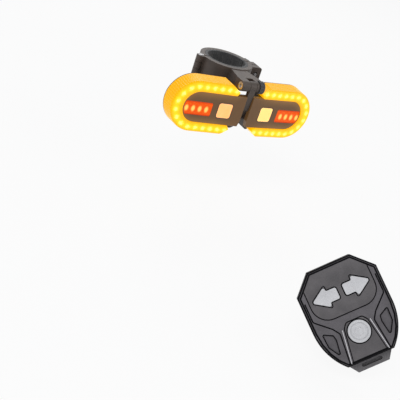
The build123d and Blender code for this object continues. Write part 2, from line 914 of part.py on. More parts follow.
boss_list = both_sides(boss_spots)
key_floor = face_wall + key_under
mat_top = key_floor + key_rim_thick + key_travel + key_under
dome_top = mat_top + mat_thick
switch_board = dome_top + dome_tall
board_back = switch_board + board_thick
floor_depth = remote_thick - remote_floor


def remote_top():
    """The front shell with its recesses, grooves and bosses."""
    shell = slab(remote_outline(0), 0, parting)
    shell = chamfer(shell.edges().group_by(Axis.Z)[-1], remote_bevel)
    shell -= slab(remote_outline(-remote_wall), face_wall, parting + over)
    for x, y in boss_list:
        shell += rod(remote_boss, x, y, face_wall - over, floor_depth - remote_board_gap)
    shell -= slab(bib(plate_gap) + apron(plate_gap), -over, plate_thick)
    shell -= slab(key_holes(key_gap), -over, face_wall + over)
    for side in (1, -1):
        line = FilletPolyline(*[(side * x, y) for x, y in groove], radius=groove_round)
        shell -= slab(trace(line, groove_wide), -over, groove_deep)
        pocket = polygon([(side * x, y) for x, y in gill])
        shell -= slab(fillet(pocket.vertices(), gill_round), -over, gill_deep)
    for x, y in boss_list:
        shell -= rod(small_screw + small_fit, x, y, remote_screw_end, far)
    return shell


def remote_plate(outline):
    """A thin plate set into the face, with the key holes."""
    plate = slab(outline(0), 0, plate_thick)
    plate = chamfer(plate.edges().group_by(Axis.Z)[-1], plate_bevel)
    return plate - slab(key_holes(key_gap), -over, far)


def key(outline):
    """A key cap with a rim under the shell."""
    cap = slab(outline(0), -key_proud, key_floor)
    cap = fillet(cap.edges().group_by(Axis.Z)[-1], key_under)
    return cap + slab(outline(key_rim), key_floor, key_floor + key_rim_thick)


def round_key():
    """The round key with a ring groove."""
    ring = Circle(round_ring + round_ring_wide / 2) - Circle(round_ring - round_ring_wide / 2)
    return key(round_key_face) - slab(Pos(0, round_y) * ring, -far, -key_proud + round_ring_deep)


def inner_plate(front, back, gap):
    """A plate that fills the shell between two depths, with holes for the bosses."""
    plate = slab(remote_outline(-remote_wall - gap), front, back)
    for x, y in boss_list:
        plate -= rod(remote_boss + gap, x, y, front - over, back + over)
    return plate


def key_spots():
    """The middles of the keys."""
    return [(-dome_x, arrow_y), (dome_x, arrow_y), (0, round_y)]


def dome_switches():
    """Three metal domes under the silicone mat."""
    domes = []
    for x, y in key_spots():
        dome = rod(dome_radius, x, y, dome_top, switch_board)
        domes.append(chamfer(dome.edges().group_by(Axis.Z)[-1], dome_tall / 2))
    return domes


def coin_cell():
    """The coin cell."""
    front = board_back + cell_gap
    cell = rod(cell_radius, 0, cell_y, front, front + cell_tall)
    return chamfer(cell.edges().group_by(Axis.Z)[0], cell_gap)


def cell_contact():
    """The spring contact between the board and the cell."""
    half = contact_wide / 2
    strip = block(-half, half, cell_y - contact_long / 2, cell_y + contact_long / 2,
                  board_back, board_back + contact_thick)
    return strip


def remote_back():
    """The rear shell with its floor, the door's seat and the strap tab."""
    front = parting + parting_gap
    shell = slab(remote_outline(0), front, remote_thick)
    shell = chamfer(shell.edges().group_by(Axis.Z)[0], back_bevel)
    shell -= slab(remote_outline(-remote_wall), front - over, floor_depth)
    tab = polygon([(tab_half, chin + over), (tab_half, chin), (tab_low_half, tab_low), (-tab_low_half, tab_low),
                   (-tab_half, chin), (-tab_half, chin + over)])
    shell += slab(tab, tab_back - tab_thick + over, tab_back + over)
    shell -= slab(Pos(0, slot_y) * SlotOverall(2 * slot_half, slot_high), 0, tab_back + over - slot_floor)
    shell -= rod(door_radius + door_fit, 0, cell_y, floor_depth - over, far)
    for x, y in boss_list:
        shell -= rod(small_screw + boss_slack, x, y, floor_depth - over, far)
        shell -= rod(small_head + boss_slack, x, y, remote_thick - small_head_tall / 2 - small_fit, far)
    return shell


def remote_screws():
    """The four screws of the remote."""
    group = []
    seat = remote_thick - small_head_tall / 2
    for x, y in boss_list:
        head = rod(small_head, x, y, seat, remote_thick)
        head -= slab(Pos(x, y) * Rectangle(small_head, small_fit * 8), seat + small_head_tall / 4, far)
        group.append(head + rod(small_screw, x, y, remote_screw_end + over, seat))
    return group


def battery_door():
    """The coin slotted door over the cell."""
    inside = floor_depth - door_lip_thick
    door = rod(door_radius, 0, cell_y, inside, remote_thick)
    groove_in = door_radius - 2 * ring_section
    band = Circle(door_radius + over) - Circle(groove_in)
    door -= slab(Pos(0, cell_y) * band, floor_depth + ring_section, floor_depth + 3 * ring_section)
    slot = Pos(0, cell_y) * SlotOverall(door_slot_long, door_slot_wide)
    return door - slab(slot, remote_thick - door_slot_deep, far)


def door_seal():
    """The sealing ring round the door."""
    middle = door_radius - ring_section
    ring = Torus(middle, ring_section - small_fit / 2)
    return Pos(0, cell_y, -(floor_depth + 2 * ring_section)) * ring


def remote_frame():
    """Where the remote stands, facing the eye of the picture."""
    turn = math.radians(remote_facing)
    tilt = math.radians(remote_tilt)
    roll = math.radians(remote_roll)
    out = Vector(math.sin(turn) * math.cos(tilt), -math.cos(turn) * math.cos(tilt), math.sin(tilt))
    across = Vector(math.cos(turn), math.sin(turn), 0)
    up = out.cross(across)
    x_axis = across * math.cos(roll) + up * math.sin(roll)
    return Location(Plane(origin=remote_at, x_dir=x_axis, z_dir=out))


LAMP = Location((0, -face_ahead, -lamp_drop)) * Rotation(90, 0, 0)
REMOTE = remote_frame()


def save(name, shape, place=None):
    """Write one piece, or a group of separate solids, where it belongs."""
    items = shape if isinstance(shape, list) else [shape]
    solids = [solid for item in items for solid in item.solids()]
    if place is not None:
        solids = [place * solid for solid in solids]
    export_step(solids[0] if len(solids) == 1 else Compound(children=solids), f"parts/{name}.step")


def save_pod_pair(name, shape):
    """Write a pod's piece and its mirror image."""
    pieces = shape if isinstance(shape, list) else [shape]
    save(name + "_right", pieces, LAMP)
    save(name + "_left", [mirror(piece, about=Plane.YZ) for piece in pieces], LAMP)


def left(piece):
    """The mirror image of one piece."""
    return mirror(piece, about=Plane.YZ)


def main():
    """Build every piece and write it."""
    os.makedirs("parts", exist_ok=True)
    shell = housing()
    save("rear_housing_right", right_housing(shell), LAMP)
    save("rear_housing_left", left(left_housing(shell)), LAMP)
    save_pod_pair("amber_lens", lens())
    save_pod_pair("lens_seal", lens_seal())
    save_pod_pair("front_panel", panel())
    save_pod_pair("red_window", window(red_face))
    save_pod_pair("square_window", window(square_face))
    save_pod_pair("amber_board", amber_board())
    save_pod_pair("amber_leds", amber_leds())
    save_pod_pair("red_board", red_board())
    save_pod_pair("red_leds", red_leds())
    save("square_leds", [square_led(), left(square_led())], LAMP)
    screws = lens_screws()
    save("lens_screws", screws + [left(screw) for screw in screws], LAMP)
    save("power_button", left(power_button()), LAMP)
    save("power_switch", left(power_switch()), LAMP)
    save("battery", left(battery()), LAMP)
    save("control_board", main_board(), LAMP)
    save("receiver_antenna", antenna(), LAMP)
    save("charging_port", port(), LAMP)
    save("port_cover", port_cover(), LAMP)
    save("centre_spine", spine(), LAMP)
    save("spine_screws", spine_screws(), LAMP)
    save("link_cable", link_cable(), LAMP)
    save("mount_arm", mount_arm())
    save("clamp_hoop", clamp_hoop())
    save("hoop_pin", hoop_pin())
    save("post_liner_front", post_liner(-1))
    save("post_liner_back", post_liner(1))
    save("clamp_nut", clamp_nut())
    save("clamp_screw", clamp_screw())
    save("screw_grip", screw_grip())
    save("tilt_bolt", tilt_bolt())
    save("tilt_knob", tilt_knob())
    save("remote_top_shell", remote_top(), REMOTE)
    save("remote_upper_plate", remote_plate(bib), REMOTE)
    save("remote_lower_plate", remote_plate(apron), REMOTE)
    save("arrow_key_left", key(lambda grow: arrow(-1, grow)), REMOTE)
    save("arrow_key_right", key(lambda grow: arrow(1, grow)), REMOTE)
    save("round_key", round_key(), REMOTE)
    save("key_mat", inner_plate(mat_top, dome_top, part_gap), REMOTE)
    save("dome_switches", dome_switches(), REMOTE)
    save("remote_board", inner_plate(switch_board, board_back, part_gap), REMOTE)
    save("coin_cell", coin_cell(), REMOTE)
    save("cell_contact", cell_contact(), REMOTE)
    save("remote_back_shell", remote_back(), REMOTE)
    save("battery_door", battery_door(), REMOTE)
    save("door_seal", door_seal(), REMOTE)
    save("remote_screws", remote_screws(), REMOTE)


main()
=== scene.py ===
"""Dresses the turn signal lamp, its seat post clamp and its remote, and lights them for a picture."""

import logging
import math
from dataclasses import dataclass
from enum import Enum
from typing import Callable, Optional, Sequence, Union

import bmesh
import bpy
from mathutils import Matrix, Vector

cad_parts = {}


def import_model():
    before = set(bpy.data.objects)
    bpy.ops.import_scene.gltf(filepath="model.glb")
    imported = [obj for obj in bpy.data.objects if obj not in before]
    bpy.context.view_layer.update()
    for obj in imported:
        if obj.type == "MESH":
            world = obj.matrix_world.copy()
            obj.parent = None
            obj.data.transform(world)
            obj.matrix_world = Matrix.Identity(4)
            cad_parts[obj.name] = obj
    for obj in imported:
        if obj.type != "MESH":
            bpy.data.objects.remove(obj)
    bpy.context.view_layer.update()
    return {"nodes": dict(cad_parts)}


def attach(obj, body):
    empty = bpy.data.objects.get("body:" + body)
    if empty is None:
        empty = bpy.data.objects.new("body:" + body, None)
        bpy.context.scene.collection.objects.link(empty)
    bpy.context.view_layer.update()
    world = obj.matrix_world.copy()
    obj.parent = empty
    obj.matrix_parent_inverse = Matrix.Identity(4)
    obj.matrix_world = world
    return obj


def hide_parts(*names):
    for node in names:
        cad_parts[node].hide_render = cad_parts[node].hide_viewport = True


Colour = tuple[float, float, float]
Socket = bpy.types.NodeSocket
Material = bpy.types.Material
Value = Union[float, tuple, Socket]
LOG = logging.getLogger("signal_lamp")

MM = 0.001
FACE_AHEAD = 42.0
LAMP_DROP = 14.0
POD_TURN = math.radians(3.0)
SHARP = math.radians(30.0)
SMOOTH = math.radians(35)
POST_BORE = 13.65
PIN_X = -21.05
PIN_DISH = 7.34
SCREW_X = 23.35
GRIP_SEAT = 12.5
BUTTON_SPOT = (-15.8, 0, -20.1)
REMOTE_ANGLES = (-43.3, 28.5, 46.7)
REMOTE_AT = (-22.9, -209.2, -43.5)
GROOVE = [(19.2, 12.6), (19.2, 2.6), (11.7, -4.2), (9.2, -7.8), (10.9, -23.8)]
GILL = [(17.6, -4.6), (12.7, -7.2), (12.2, -9.8), (13.4, -18.0), (17.2, -11.8)]
APRON = [(4.4, -3.8), (6.4, -6.4), (9.1, -23.6), (-9.1, -23.6), (-6.4, -6.4), (-4.4, -3.8)]
BIB = [(17.3, 18.8), (17.3, 0.2), (-17.3, 0.2), (-17.3, 18.8)]
RIM = [(11.1, 25.1), (20.1, 15.8), (20.1, -3.2), (19.4, -9.4), (17.6, -15.0), (15.0, -19.6), (11.7, -23.2)]


class Side(Enum):
    """Which pod of the lamp a piece belongs to."""

    LEFT = -1
    RIGHT = 1

    @property
    def word(self) -> str:
        """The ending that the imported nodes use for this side."""
        return self.name.lower()


def lamp_place(side: Side) -> Matrix:
    """Turn millimetres in the lamp's own frame into the frame of the seat post.

    Args:
        side: the pod whose turn is added.

    Returns:
        The matrix for a mesh drawn with x across, y up and z out of the lenses.
    """
    place = Matrix(((1, 0, 0, 0), (0, 0, -1, -FACE_AHEAD), (0, 1, 0, -LAMP_DROP), (0, 0, 0, 1)))
    place = place @ Matrix.Rotation(POD_TURN * side.value, 4, "Y")
    return Matrix.Scale(MM, 4) @ place


def remote_place() -> Matrix:
    """The matrix for a mesh drawn with x across the remote, y along it and z out of its face."""
    turn, tilt, roll = (math.radians(angle) for angle in REMOTE_ANGLES)
    out = Vector((math.sin(turn) * math.cos(tilt), -math.cos(turn) * math.cos(tilt), math.sin(tilt)))
    across = Vector((math.cos(turn), math.sin(turn), 0))
    x_axis = across * math.cos(roll) + out.cross(across) * math.sin(roll)
    y_axis = out.cross(x_axis)
    place = Matrix((x_axis, y_axis, out)).transposed().to_4x4()
    place.translation = Vector(REMOTE_AT)
    return Matrix.Scale(MM, 4) @ place


class Sheet:
    """A material under construction, with short ways to add nodes to it."""

    def __init__(self, name: str) -> None:
        """Start an empty material of that name."""
        self.material = bpy.data.materials.new(name)
        self.material.use_nodes = True
        self.tree = self.material.node_tree
        self.tree.nodes.clear()
        self.output = self.tree.nodes.new("ShaderNodeOutputMaterial")

    def put(self, socket: Socket, value: Value) -> None:
        """Link a socket to an input, or set the input's own value."""
        if isinstance(value, Socket):
            self.tree.links.new(value, socket)
        elif isinstance(value, tuple) and len(value) == 3 and socket.type == "RGBA":
            socket.default_value = (*value, 1.0)
        else:
            socket.default_value = value

    def add(self, kind: str, inputs: Optional[dict] = None, **settings: object) -> bpy.types.Node:
        """Add a node with its settings and inputs.

        Args:
            kind: the node's type without its common beginning.
            inputs: input name or number to value or socket.
            **settings: attributes of the node.

        Returns:
            The new node.
        """
        node = self.tree.nodes.new("ShaderNode" + kind)
        for name, value in settings.items():
            setattr(node, name, value)
        for name, value in (inputs or {}).items():
            self.put(node.inputs[name], value)
        return node

    def math(self, operation: str, first: Value, second: Value = 0.0, clamp: bool = False) -> Socket:
        """The result of one sum on numbers."""
        node = self.add("Math", {0: first, 1: second}, operation=operation, use_clamp=clamp)
        return node.outputs[0]

    def times(self, first: Value, second: Value) -> Socket:
        """The product of two values."""
        return self.math("MULTIPLY", first, second)

    def plus(self, first: Value, second: Value) -> Socket:
        """The sum of two values."""
        return self.math("ADD", first, second)

    def minus(self, first: Value, second: Value) -> Socket:
        """The first value less the second."""
        return self.math("SUBTRACT", first, second)

    def millimetres(self) -> Socket:
        """The place on the object in millimetres."""
        place = self.add("TexCoord").outputs["Object"]
        node = self.add("VectorMath", {0: place, "Scale": 1 / MM}, operation="SCALE")
        return node.outputs[0]

    def noise(self, place: Value, size: float, detail: float = 2.0, rough: float = 0.5) -> Socket:
        """Cloudy values whose lumps are about the given size in millimetres."""
        inputs = {"Vector": place, "Scale": 1 / size, "Detail": detail, "Roughness": rough}
        return self.add("TexNoise", inputs).outputs["Fac"]

    def cells(self, place: Value, size: float, feature: str = "F1") -> Socket:
        """Distances in a pattern of cells of about the given size in millimetres."""
        node = self.add("TexVoronoi", {"Vector": place, "Scale": 1 / size}, feature=feature)
        return node.outputs["Distance"]

    def spread(self, value: Value, low: float, high: float, new_low: float = 0.0,
               new_high: float = 1.0) -> Socket:
        """A value stretched from one range to another and held inside it."""
        inputs = {"Value": value, "From Min": low, "From Max": high, "To Min": new_low, "To Max": new_high}
        return self.add("MapRange", inputs, clamp=True).outputs["Result"]

    def blend(self, share: Value, first: Value, second: Value, kind: str = "MIX") -> Socket:
        """A mix of two colours."""
        node = self.add("Mix", {0: share, 6: first, 7: second}, data_type="RGBA", blend_type=kind)
        return node.outputs[2]

    def cloud(self, value: Value, low: float, high: float, first: Value, second: Value) -> Socket:
        """A colour that turns into a second one as the value goes from low to high."""
        return self.blend(self.spread(value, low, high), first, second)

    def dot(self, first: Value, second: Value) -> Socket:
        """How far one arrow reaches along another."""
        return self.add("VectorMath", {0: first, 1: second}, operation="DOT_PRODUCT").outputs["Value"]

    def ramp(self, value: Value, stops: Sequence[tuple[float, Colour]]) -> Socket:
        """A colour that runs through stops as the value rises."""
        node = self.add("ValToRGB", {0: value})
        points = node.color_ramp.elements
        while len(points) < len(stops):
            points.new(0.5)
        for point, (place, colour) in zip(points, stops):
            point.position = place
            point.color = (*colour, 1.0)
        return node.outputs[0]

    def soft_edge(self, radius: float) -> Socket:
        """The normal with sharp edges rounded by a radius in millimetres."""
        return self.add("Bevel", {"Radius": radius * MM}, samples=4).outputs["Normal"]

    def edge_mask(self, normal: Socket, gain: float) -> Socket:
        """One along sharp edges and nought on flat faces."""
        flat = self.add("NewGeometry").outputs["Normal"]
        return self.math("MULTIPLY", self.minus(1.0, self.dot(normal, flat)), gain, clamp=True)

    def bump(self, height: Value, depth: float, normal: Optional[Value] = None) -> Value:
        """A normal disturbed by a height, whose full range is a depth in millimetres."""
        inputs = {"Height": height, "Distance": depth * MM, "Strength": 1.0}
        if normal is not None:
            inputs["Normal"] = normal
        return self.add("Bump", inputs).outputs["Normal"]

    def close(self, inputs: dict) -> Material:
        """End the material in one shader with these inputs."""
        shader = self.add("BsdfPrincipled", inputs)
        self.tree.links.new(shader.outputs[0], self.output.inputs["Surface"])
        return self.material


@dataclass(frozen=True)
class MouldedPlastic:
    """Moulded plastic with a spark eroded grain, slight clouding and paler edges, a painted highlight."""

    name: str
    base: Colour
    cloud: Colour
    edge: Colour
    roughness: float = 0.55
    grain: float = 0.28
    depth: float = 0.03
    edge_gain: float = 1.6
    rounding: float = 0.25
    coat: float = 0.0
    # depths below the face over which the painted shade fades in
    sunk: Optional[tuple[float, float]] = None

    def shade(self, sheet: Sheet, place: Value) -> Value:
        """Painted shade: one on the remote's rim and groove floors, which lie below its face, and nought
        above.
        """
        out = remote_place().to_3x3() @ Vector((0, 0, 1 / MM))
        level = remote_place().translation.dot(out) / MM
        below = sheet.minus(level, sheet.dot(place, tuple(out)))
        low, deep = self.sunk
        flat = sheet.add("NewGeometry").outputs["Normal"]
        facing = sheet.dot(flat, tuple(out.normalized()))
        floor = sheet.times(sheet.spread(facing, 0.85, 0.95), sheet.spread(below, 0.6, 0.65))
        return sheet.times(sheet.spread(below, low, deep, 0.0, 0.97), sheet.minus(1.0, floor))

    def material(self) -> Material:
        """Build the material."""
        sheet = Sheet(self.name)
        place = sheet.millimetres()
        fine = sheet.noise(place, self.grain, 2.5, 0.6)
        pits = sheet.cells(place, self.grain * 1.6)
        broad = sheet.noise(place, 9.0, 3.0)
        normal = sheet.soft_edge(self.rounding)
        # painted highlight: sharp edges are made paler, as if they caught the light
        edge_highlight_mask = sheet.times(sheet.edge_mask(normal, self.edge_gain), sheet.spread(broad, 0.3, 0.7, 0.5, 1.0))
        colour = sheet.cloud(broad, 0.35, 0.65, self.base, self.cloud)
        speck = sheet.spread(fine, 0.35, 0.7, 0.82, 1.16)
        grey = sheet.add("CombineColor", {0: speck, 1: speck, 2: speck}).outputs[0]
        colour = sheet.blend(1.0, colour, grey, "MULTIPLY")
        colour = sheet.blend(edge_highlight_mask, colour, self.edge)
        shine: Value = 0.5
        if self.sunk:
            shade = self.shade(sheet, place)
            # painted shade: the sunk rim and grooves darken to near black and lose most of their reflection
            colour = sheet.blend(shade, colour, (0.002, 0.002, 0.003))
            shine = sheet.spread(shade, 0.0, 1.0, 0.5, 0.04)
        rough = sheet.spread(fine, 0.3, 0.7, self.roughness - 0.08, self.roughness + 0.1)
        height = sheet.plus(fine, sheet.times(pits, 0.5))
        return sheet.close({
            "Base Color": colour, "Roughness": rough, "Normal": sheet.bump(height, self.depth, normal),
            "Coat Weight": self.coat, "Coat Roughness": 0.12, "Specular IOR Level": shine,
        })


@dataclass(frozen=True)
class SoftRubber:
    """Rubber or silicone with a faint bloom, moulding lines and dust in its pores."""

    name: str
    base: Colour
    bloom: Colour
    roughness: float = 0.68
    line_every: float = 0.0
    line_depth: float = 0.12
    sheen: float = 0.15
    shine: float = 0.5

    def material(self) -> Material:
        """Build the material."""
        sheet = Sheet(self.name)
        place = sheet.millimetres()
        pores = sheet.noise(place, 0.22, 3.0, 0.65)
        dust = sheet.noise(place, 4.5, 4.0, 0.6)
        colour = sheet.blend(sheet.spread(dust, 0.42, 0.72, 0.0, 0.75), self.base, self.bloom)
        normal = sheet.soft_edge(0.3)
        height: Value = sheet.times(pores, 0.25)
        depth = 0.05
        if self.line_every:
            parts = sheet.add("SeparateXYZ", {0: place}).outputs
            around = sheet.math("ARCTAN2", parts[1], parts[0])
            wave = sheet.math("SINE", sheet.times(around, 2 * math.pi * POST_BORE / self.line_every))
            height = sheet.plus(height, sheet.spread(wave, -0.2, 0.8))
            depth = self.line_depth
        rough = sheet.spread(dust, 0.3, 0.7, self.roughness - 0.08, self.roughness + 0.12)
        return sheet.close({
            "Base Color": colour, "Roughness": rough, "Normal": sheet.bump(height, depth, normal),
            "Sheen Weight": self.sheen, "Sheen Roughness": 0.5, "Specular IOR Level": self.shine,
        })


class Grind(Enum):
    """How the last cut of a metal face runs."""

    TURNED = "turned"
    DRAWN = "drawn"


@dataclass(frozen=True)
class PlatedMetal:
    """Plated steel with fine tool marks, dull patches and bright edges, a painted highlight."""

    name: str
    base: Colour
    dull: Colour
    roughness: float = 0.3
    grind: Grind = Grind.DRAWN

    def material(self) -> Material:
        """Build the material."""
        sheet = Sheet(self.name)
        place = sheet.millimetres()
        stretch = (6.0, 0.5, 6.0) if self.grind is Grind.DRAWN else (5.0, 5.0, 0.6)
        drawn = sheet.add("VectorMath", {0: place, 1: stretch}, operation="MULTIPLY").outputs[0]
        marks = sheet.noise(drawn, 0.7, 3.0, 0.7)
        stain = sheet.noise(place, 3.0, 4.0, 0.6)
        normal = sheet.soft_edge(0.15)
        colour = sheet.blend(sheet.spread(stain, 0.4, 0.75, 0.0, 0.8), self.base, self.dull)
        # painted highlight: sharp edges are made bright, as if they caught the light
        colour = sheet.blend(sheet.edge_mask(normal, 1.2), colour, (0.85, 0.85, 0.84))
        rough = sheet.spread(marks, 0.3, 0.7, self.roughness - 0.08, self.roughness + 0.16)
        return sheet.close({
            "Base Color": colour, "Metallic": 1.0, "Roughness": rough,
            "Normal": sheet.bump(marks, 0.02, normal),
        })


@dataclass(frozen=True)
class CircuitBoard:
    """Solder mask over copper runs, with the weave of the laminate and tinned pads showing."""

    name: str
    mask: Colour
    run: Colour
    pitch: float = 1.3

    def material(self) -> Material:
        """Build the material."""
        sheet = Sheet(self.name)
        place = sheet.millimetres()
        inputs = {
            "Vector": place, "Scale": 1 / self.pitch, "Color1": (1.0, 1.0, 1.0), "Color2": (0.0, 0.0, 0.0),
            "Mortar": (0.5, 0.5, 0.5), "Mortar Size": 0.03, "Brick Width": 1.7, "Row Height": 0.45,
        }
        runs = sheet.add("TexBrick", inputs).outputs["Fac"]
        pads = sheet.spread(sheet.cells(place, self.pitch * 1.7), 0.1, 0.16, 1.0, 0.0)
        weave = sheet.noise(place, 0.35, 2.0)
        colour = sheet.cloud(weave, 0.3, 0.7, self.mask, tuple(c * 1.35 for c in self.mask))
        colour = sheet.blend(runs, colour, self.run)
        colour = sheet.blend(pads, colour, (0.72, 0.7, 0.66))
        height = sheet.plus(sheet.times(runs, 0.5), pads)
        return sheet.close({
            "Base Color": colour, "Roughness": sheet.spread(weave, 0.3, 0.7, 0.28, 0.42),
            "Metallic": pads, "Normal": sheet.bump(height, 0.04, sheet.soft_edge(0.1)),
        })


@dataclass(frozen=True)
class PouchFoil:
    """The crinkled pouch of a flat lithium cell."""

    name: str = "pouch_foil"

    def material(self) -> Material:
        """Build the material."""
        sheet = Sheet(self.name)
        place = sheet.millimetres()
        crease = sheet.cells(place, 3.2, "DISTANCE_TO_EDGE")
        wrinkle = sheet.noise(place, 1.4, 4.0, 0.65)
        height = sheet.plus(sheet.spread(crease, 0.0, 0.12, 0.0, 0.6), wrinkle)
        colour = sheet.cloud(wrinkle, 0.35, 0.7, (0.62, 0.63, 0.66), (0.76, 0.77, 0.8))
        return sheet.close({
            "Base Color": colour, "Metallic": 0.9, "Roughness": sheet.spread(wrinkle, 0.3, 0.7, 0.3, 0.5),
            "Normal": sheet.bump(height, 0.12, sheet.soft_edge(0.4)),
        })


@dataclass(frozen=True)
class RibbonCable:
    """A flat cable whose wires show as rounded ridges in cream insulation."""

    name: str = "ribbon_cable"
    wire: float = 0.6

    def material(self) -> Material:
        """Build the material."""
        sheet = Sheet(self.name)
        place = sheet.millimetres()
        up = sheet.add("SeparateXYZ", {0: place}).outputs[2]
        ridge = sheet.math("ABSOLUTE", sheet.math("SINE", sheet.times(up, math.pi / self.wire)))
        grime = sheet.noise(place, 2.5, 3.0)
        colour = sheet.cloud(grime, 0.4, 0.7, (0.72, 0.68, 0.58), (0.6, 0.55, 0.46))
        return sheet.close({
            "Base Color": colour, "Roughness": sheet.spread(grime, 0.3, 0.7, 0.42, 0.58),
            "Normal": sheet.bump(ridge, 0.2),
        })


@dataclass(frozen=True)
class Ceramic:
    """Fired ceramic with fine pits and a silvered end."""

    name: str = "antenna_ceramic"

    def material(self) -> Material:
        """Build the material."""
        sheet = Sheet(self.name)
        place = sheet.millimetres()
        pits = sheet.cells(place, 0.3)
        tone = sheet.noise(place, 2.0, 3.0)
        bands = sheet.math("SINE", sheet.times(sheet.add("SeparateXYZ", {0: place}).outputs[2], 2.4))
        silver = sheet.spread(bands, 0.55, 0.65)
        colour = sheet.cloud(tone, 0.3, 0.7, (0.8, 0.77, 0.7), (0.88, 0.86, 0.8))
        colour = sheet.blend(silver, colour, (0.7, 0.7, 0.72))
        return sheet.close({
            "Base Color": colour, "Roughness": sheet.spread(tone, 0.3, 0.7, 0.45, 0.6), "Metallic": silver,
            "Normal": sheet.bump(pits, 0.03, sheet.soft_edge(0.12)),
        })


@dataclass(frozen=True)
class Phosphor:
    """The glowing face of a small lamp, its colour varying with a fine grain."""

    name: str
    glow: Colour
    rim: Colour
    strength: float

    def material(self) -> Material:
        """Build the material."""
        sheet = Sheet(self.name)
        place = sheet.millimetres()
        grain = sheet.noise(place, 0.25, 2.0)
        colour = sheet.cloud(grain, 0.35, 0.65, self.glow, self.rim)
        return sheet.close({
            "Base Color": self.rim, "Roughness": 0.35, "Emission Color": colour,
            "Emission Strength": self.strength, "Normal": sheet.bump(grain, 0.03, sheet.soft_edge(0.15)),
        })


@dataclass(frozen=True)
class PodLight:
    """Where the amber band of one pod runs, as sums on the place of a point, in millimetres."""

    side: Side
    nose: float = 37.6
    middle: float = 14.125
    radius: float = 13.45
    pitch: float = 5.5

    def local(self, sheet: Sheet) -> tuple[Value, Value, Value]:
        """The pod's own x outward, y up and depth behind its face."""
        parts = sheet.add("SeparateXYZ", {0: sheet.millimetres()}).outputs
        out = sheet.times(parts[0], float(self.side.value))
        up = sheet.plus(parts[2], LAMP_DROP)
        deep = sheet.plus(parts[1], FACE_AHEAD)
        cos, sin = math.cos(POD_TURN), math.sin(POD_TURN)
        along = sheet.plus(sheet.times(out, cos), sheet.times(deep, sin))
        depth = sheet.minus(sheet.times(deep, cos), sheet.times(out, sin))
        return along, up, depth

    def band(self, sheet: Sheet, along: Value, up: Value) -> tuple[Value, Value]:
        """How far a point is outside the band's middle line, and how far along it."""
        past = sheet.minus(along, self.nose)
        over = sheet.math("MAXIMUM", past, 0.0)
        squares = sheet.plus(sheet.times(over, over), sheet.times(up, up))
        across = sheet.minus(sheet.math("SQRT", squares), self.middle)
        high = sheet.math("ABSOLUTE", up)
        arc = sheet.times(sheet.math("ARCTAN2", high, over), self.radius)
        run = sheet.plus(arc, sheet.math("MAXIMUM", sheet.times(past, -1.0), 0.0))
        return across, run


@dataclass(frozen=True)
class AmberLensFinish:
    """Clear amber plastic lit from behind: a bright row of lamps, a deeper rim and ribs round the side."""

    side: Side
    rib: float = 1.25

    def material(self) -> Material:
        """Build the material."""
        sheet = Sheet(f"amber_lens_{self.side.word}")
        light = PodLight(self.side)
        along, up, depth = light.local(sheet)
        across, run = light.band(sheet, along, up)
        place = sheet.millimetres()
        cell = sheet.minus(sheet.math("FRACT", sheet.math("DIVIDE", run, light.pitch)), 0.5)
        step = sheet.times(cell, light.pitch)
        wide = self.bell(sheet, across, 2.7)
        spot = sheet.times(self.bell(sheet, across, 1.8), self.bell(sheet, step, 1.6))
        side_wall = sheet.spread(depth, 0.6, 3.4, 1.0, 0.0)
        prism = sheet.cells(place, 1.25)
        sparkle = sheet.spread(prism, 0.15, 0.75, 1.12, 0.78)
        level = sheet.plus(sheet.times(wide, 0.42), sheet.times(spot, 0.58))
        level = sheet.times(sheet.times(level, side_wall), sparkle)
        lit = sheet.ramp(level, [
            (0.0, (0.96, 0.5, 0.0)), (0.2, (1.0, 0.58, 0.0)), (0.5, (1.0, 0.8, 0.01)),
            (0.85, (1.0, 0.98, 0.28)),
        ])
        strength = sheet.spread(level, 0.0, 1.0, 0.72, 0.95)
        thick = sheet.spread(across, 2.2, 3.0, 0.25, 0.02)
        shine = sheet.spread(across, 2.2, 3.0, 0.3, 0.02)
        ribs = sheet.math("SINE", sheet.times(run, 2 * math.pi / self.rib))
        rib_mask = sheet.spread(across, 2.6, 3.2)
        height = sheet.plus(sheet.times(sheet.spread(ribs, -0.3, 0.6), rib_mask),
                            sheet.times(prism, 0.3))
        dark_rib = sheet.times(sheet.spread(ribs, -1.0, -0.3, 0.4, 0.0), rib_mask)
        lit = sheet.blend(dark_rib, lit, (0.5, 0.15, 0.0))
        return sheet.close({
            "Base Color": (0.5, 0.2, 0.0), "Roughness": sheet.spread(prism, 0.2, 0.8, 0.2, 0.34), "IOR": 1.49,
            "Transmission Weight": thick, "Emission Color": lit, "Emission Strength": strength,
            "Coat Weight": shine, "Coat Roughness": 0.08, "Specular IOR Level": 0.1,
            "Normal": sheet.bump(height, 0.16, sheet.soft_edge(0.3)),
        })

    def bell(self, sheet: Sheet, value: Value, width: float) -> Value:
        """One at nought, falling smoothly over the width."""
        square = sheet.times(value, value)
        return sheet.math("EXPONENT", sheet.times(square, -1 / width ** 2))


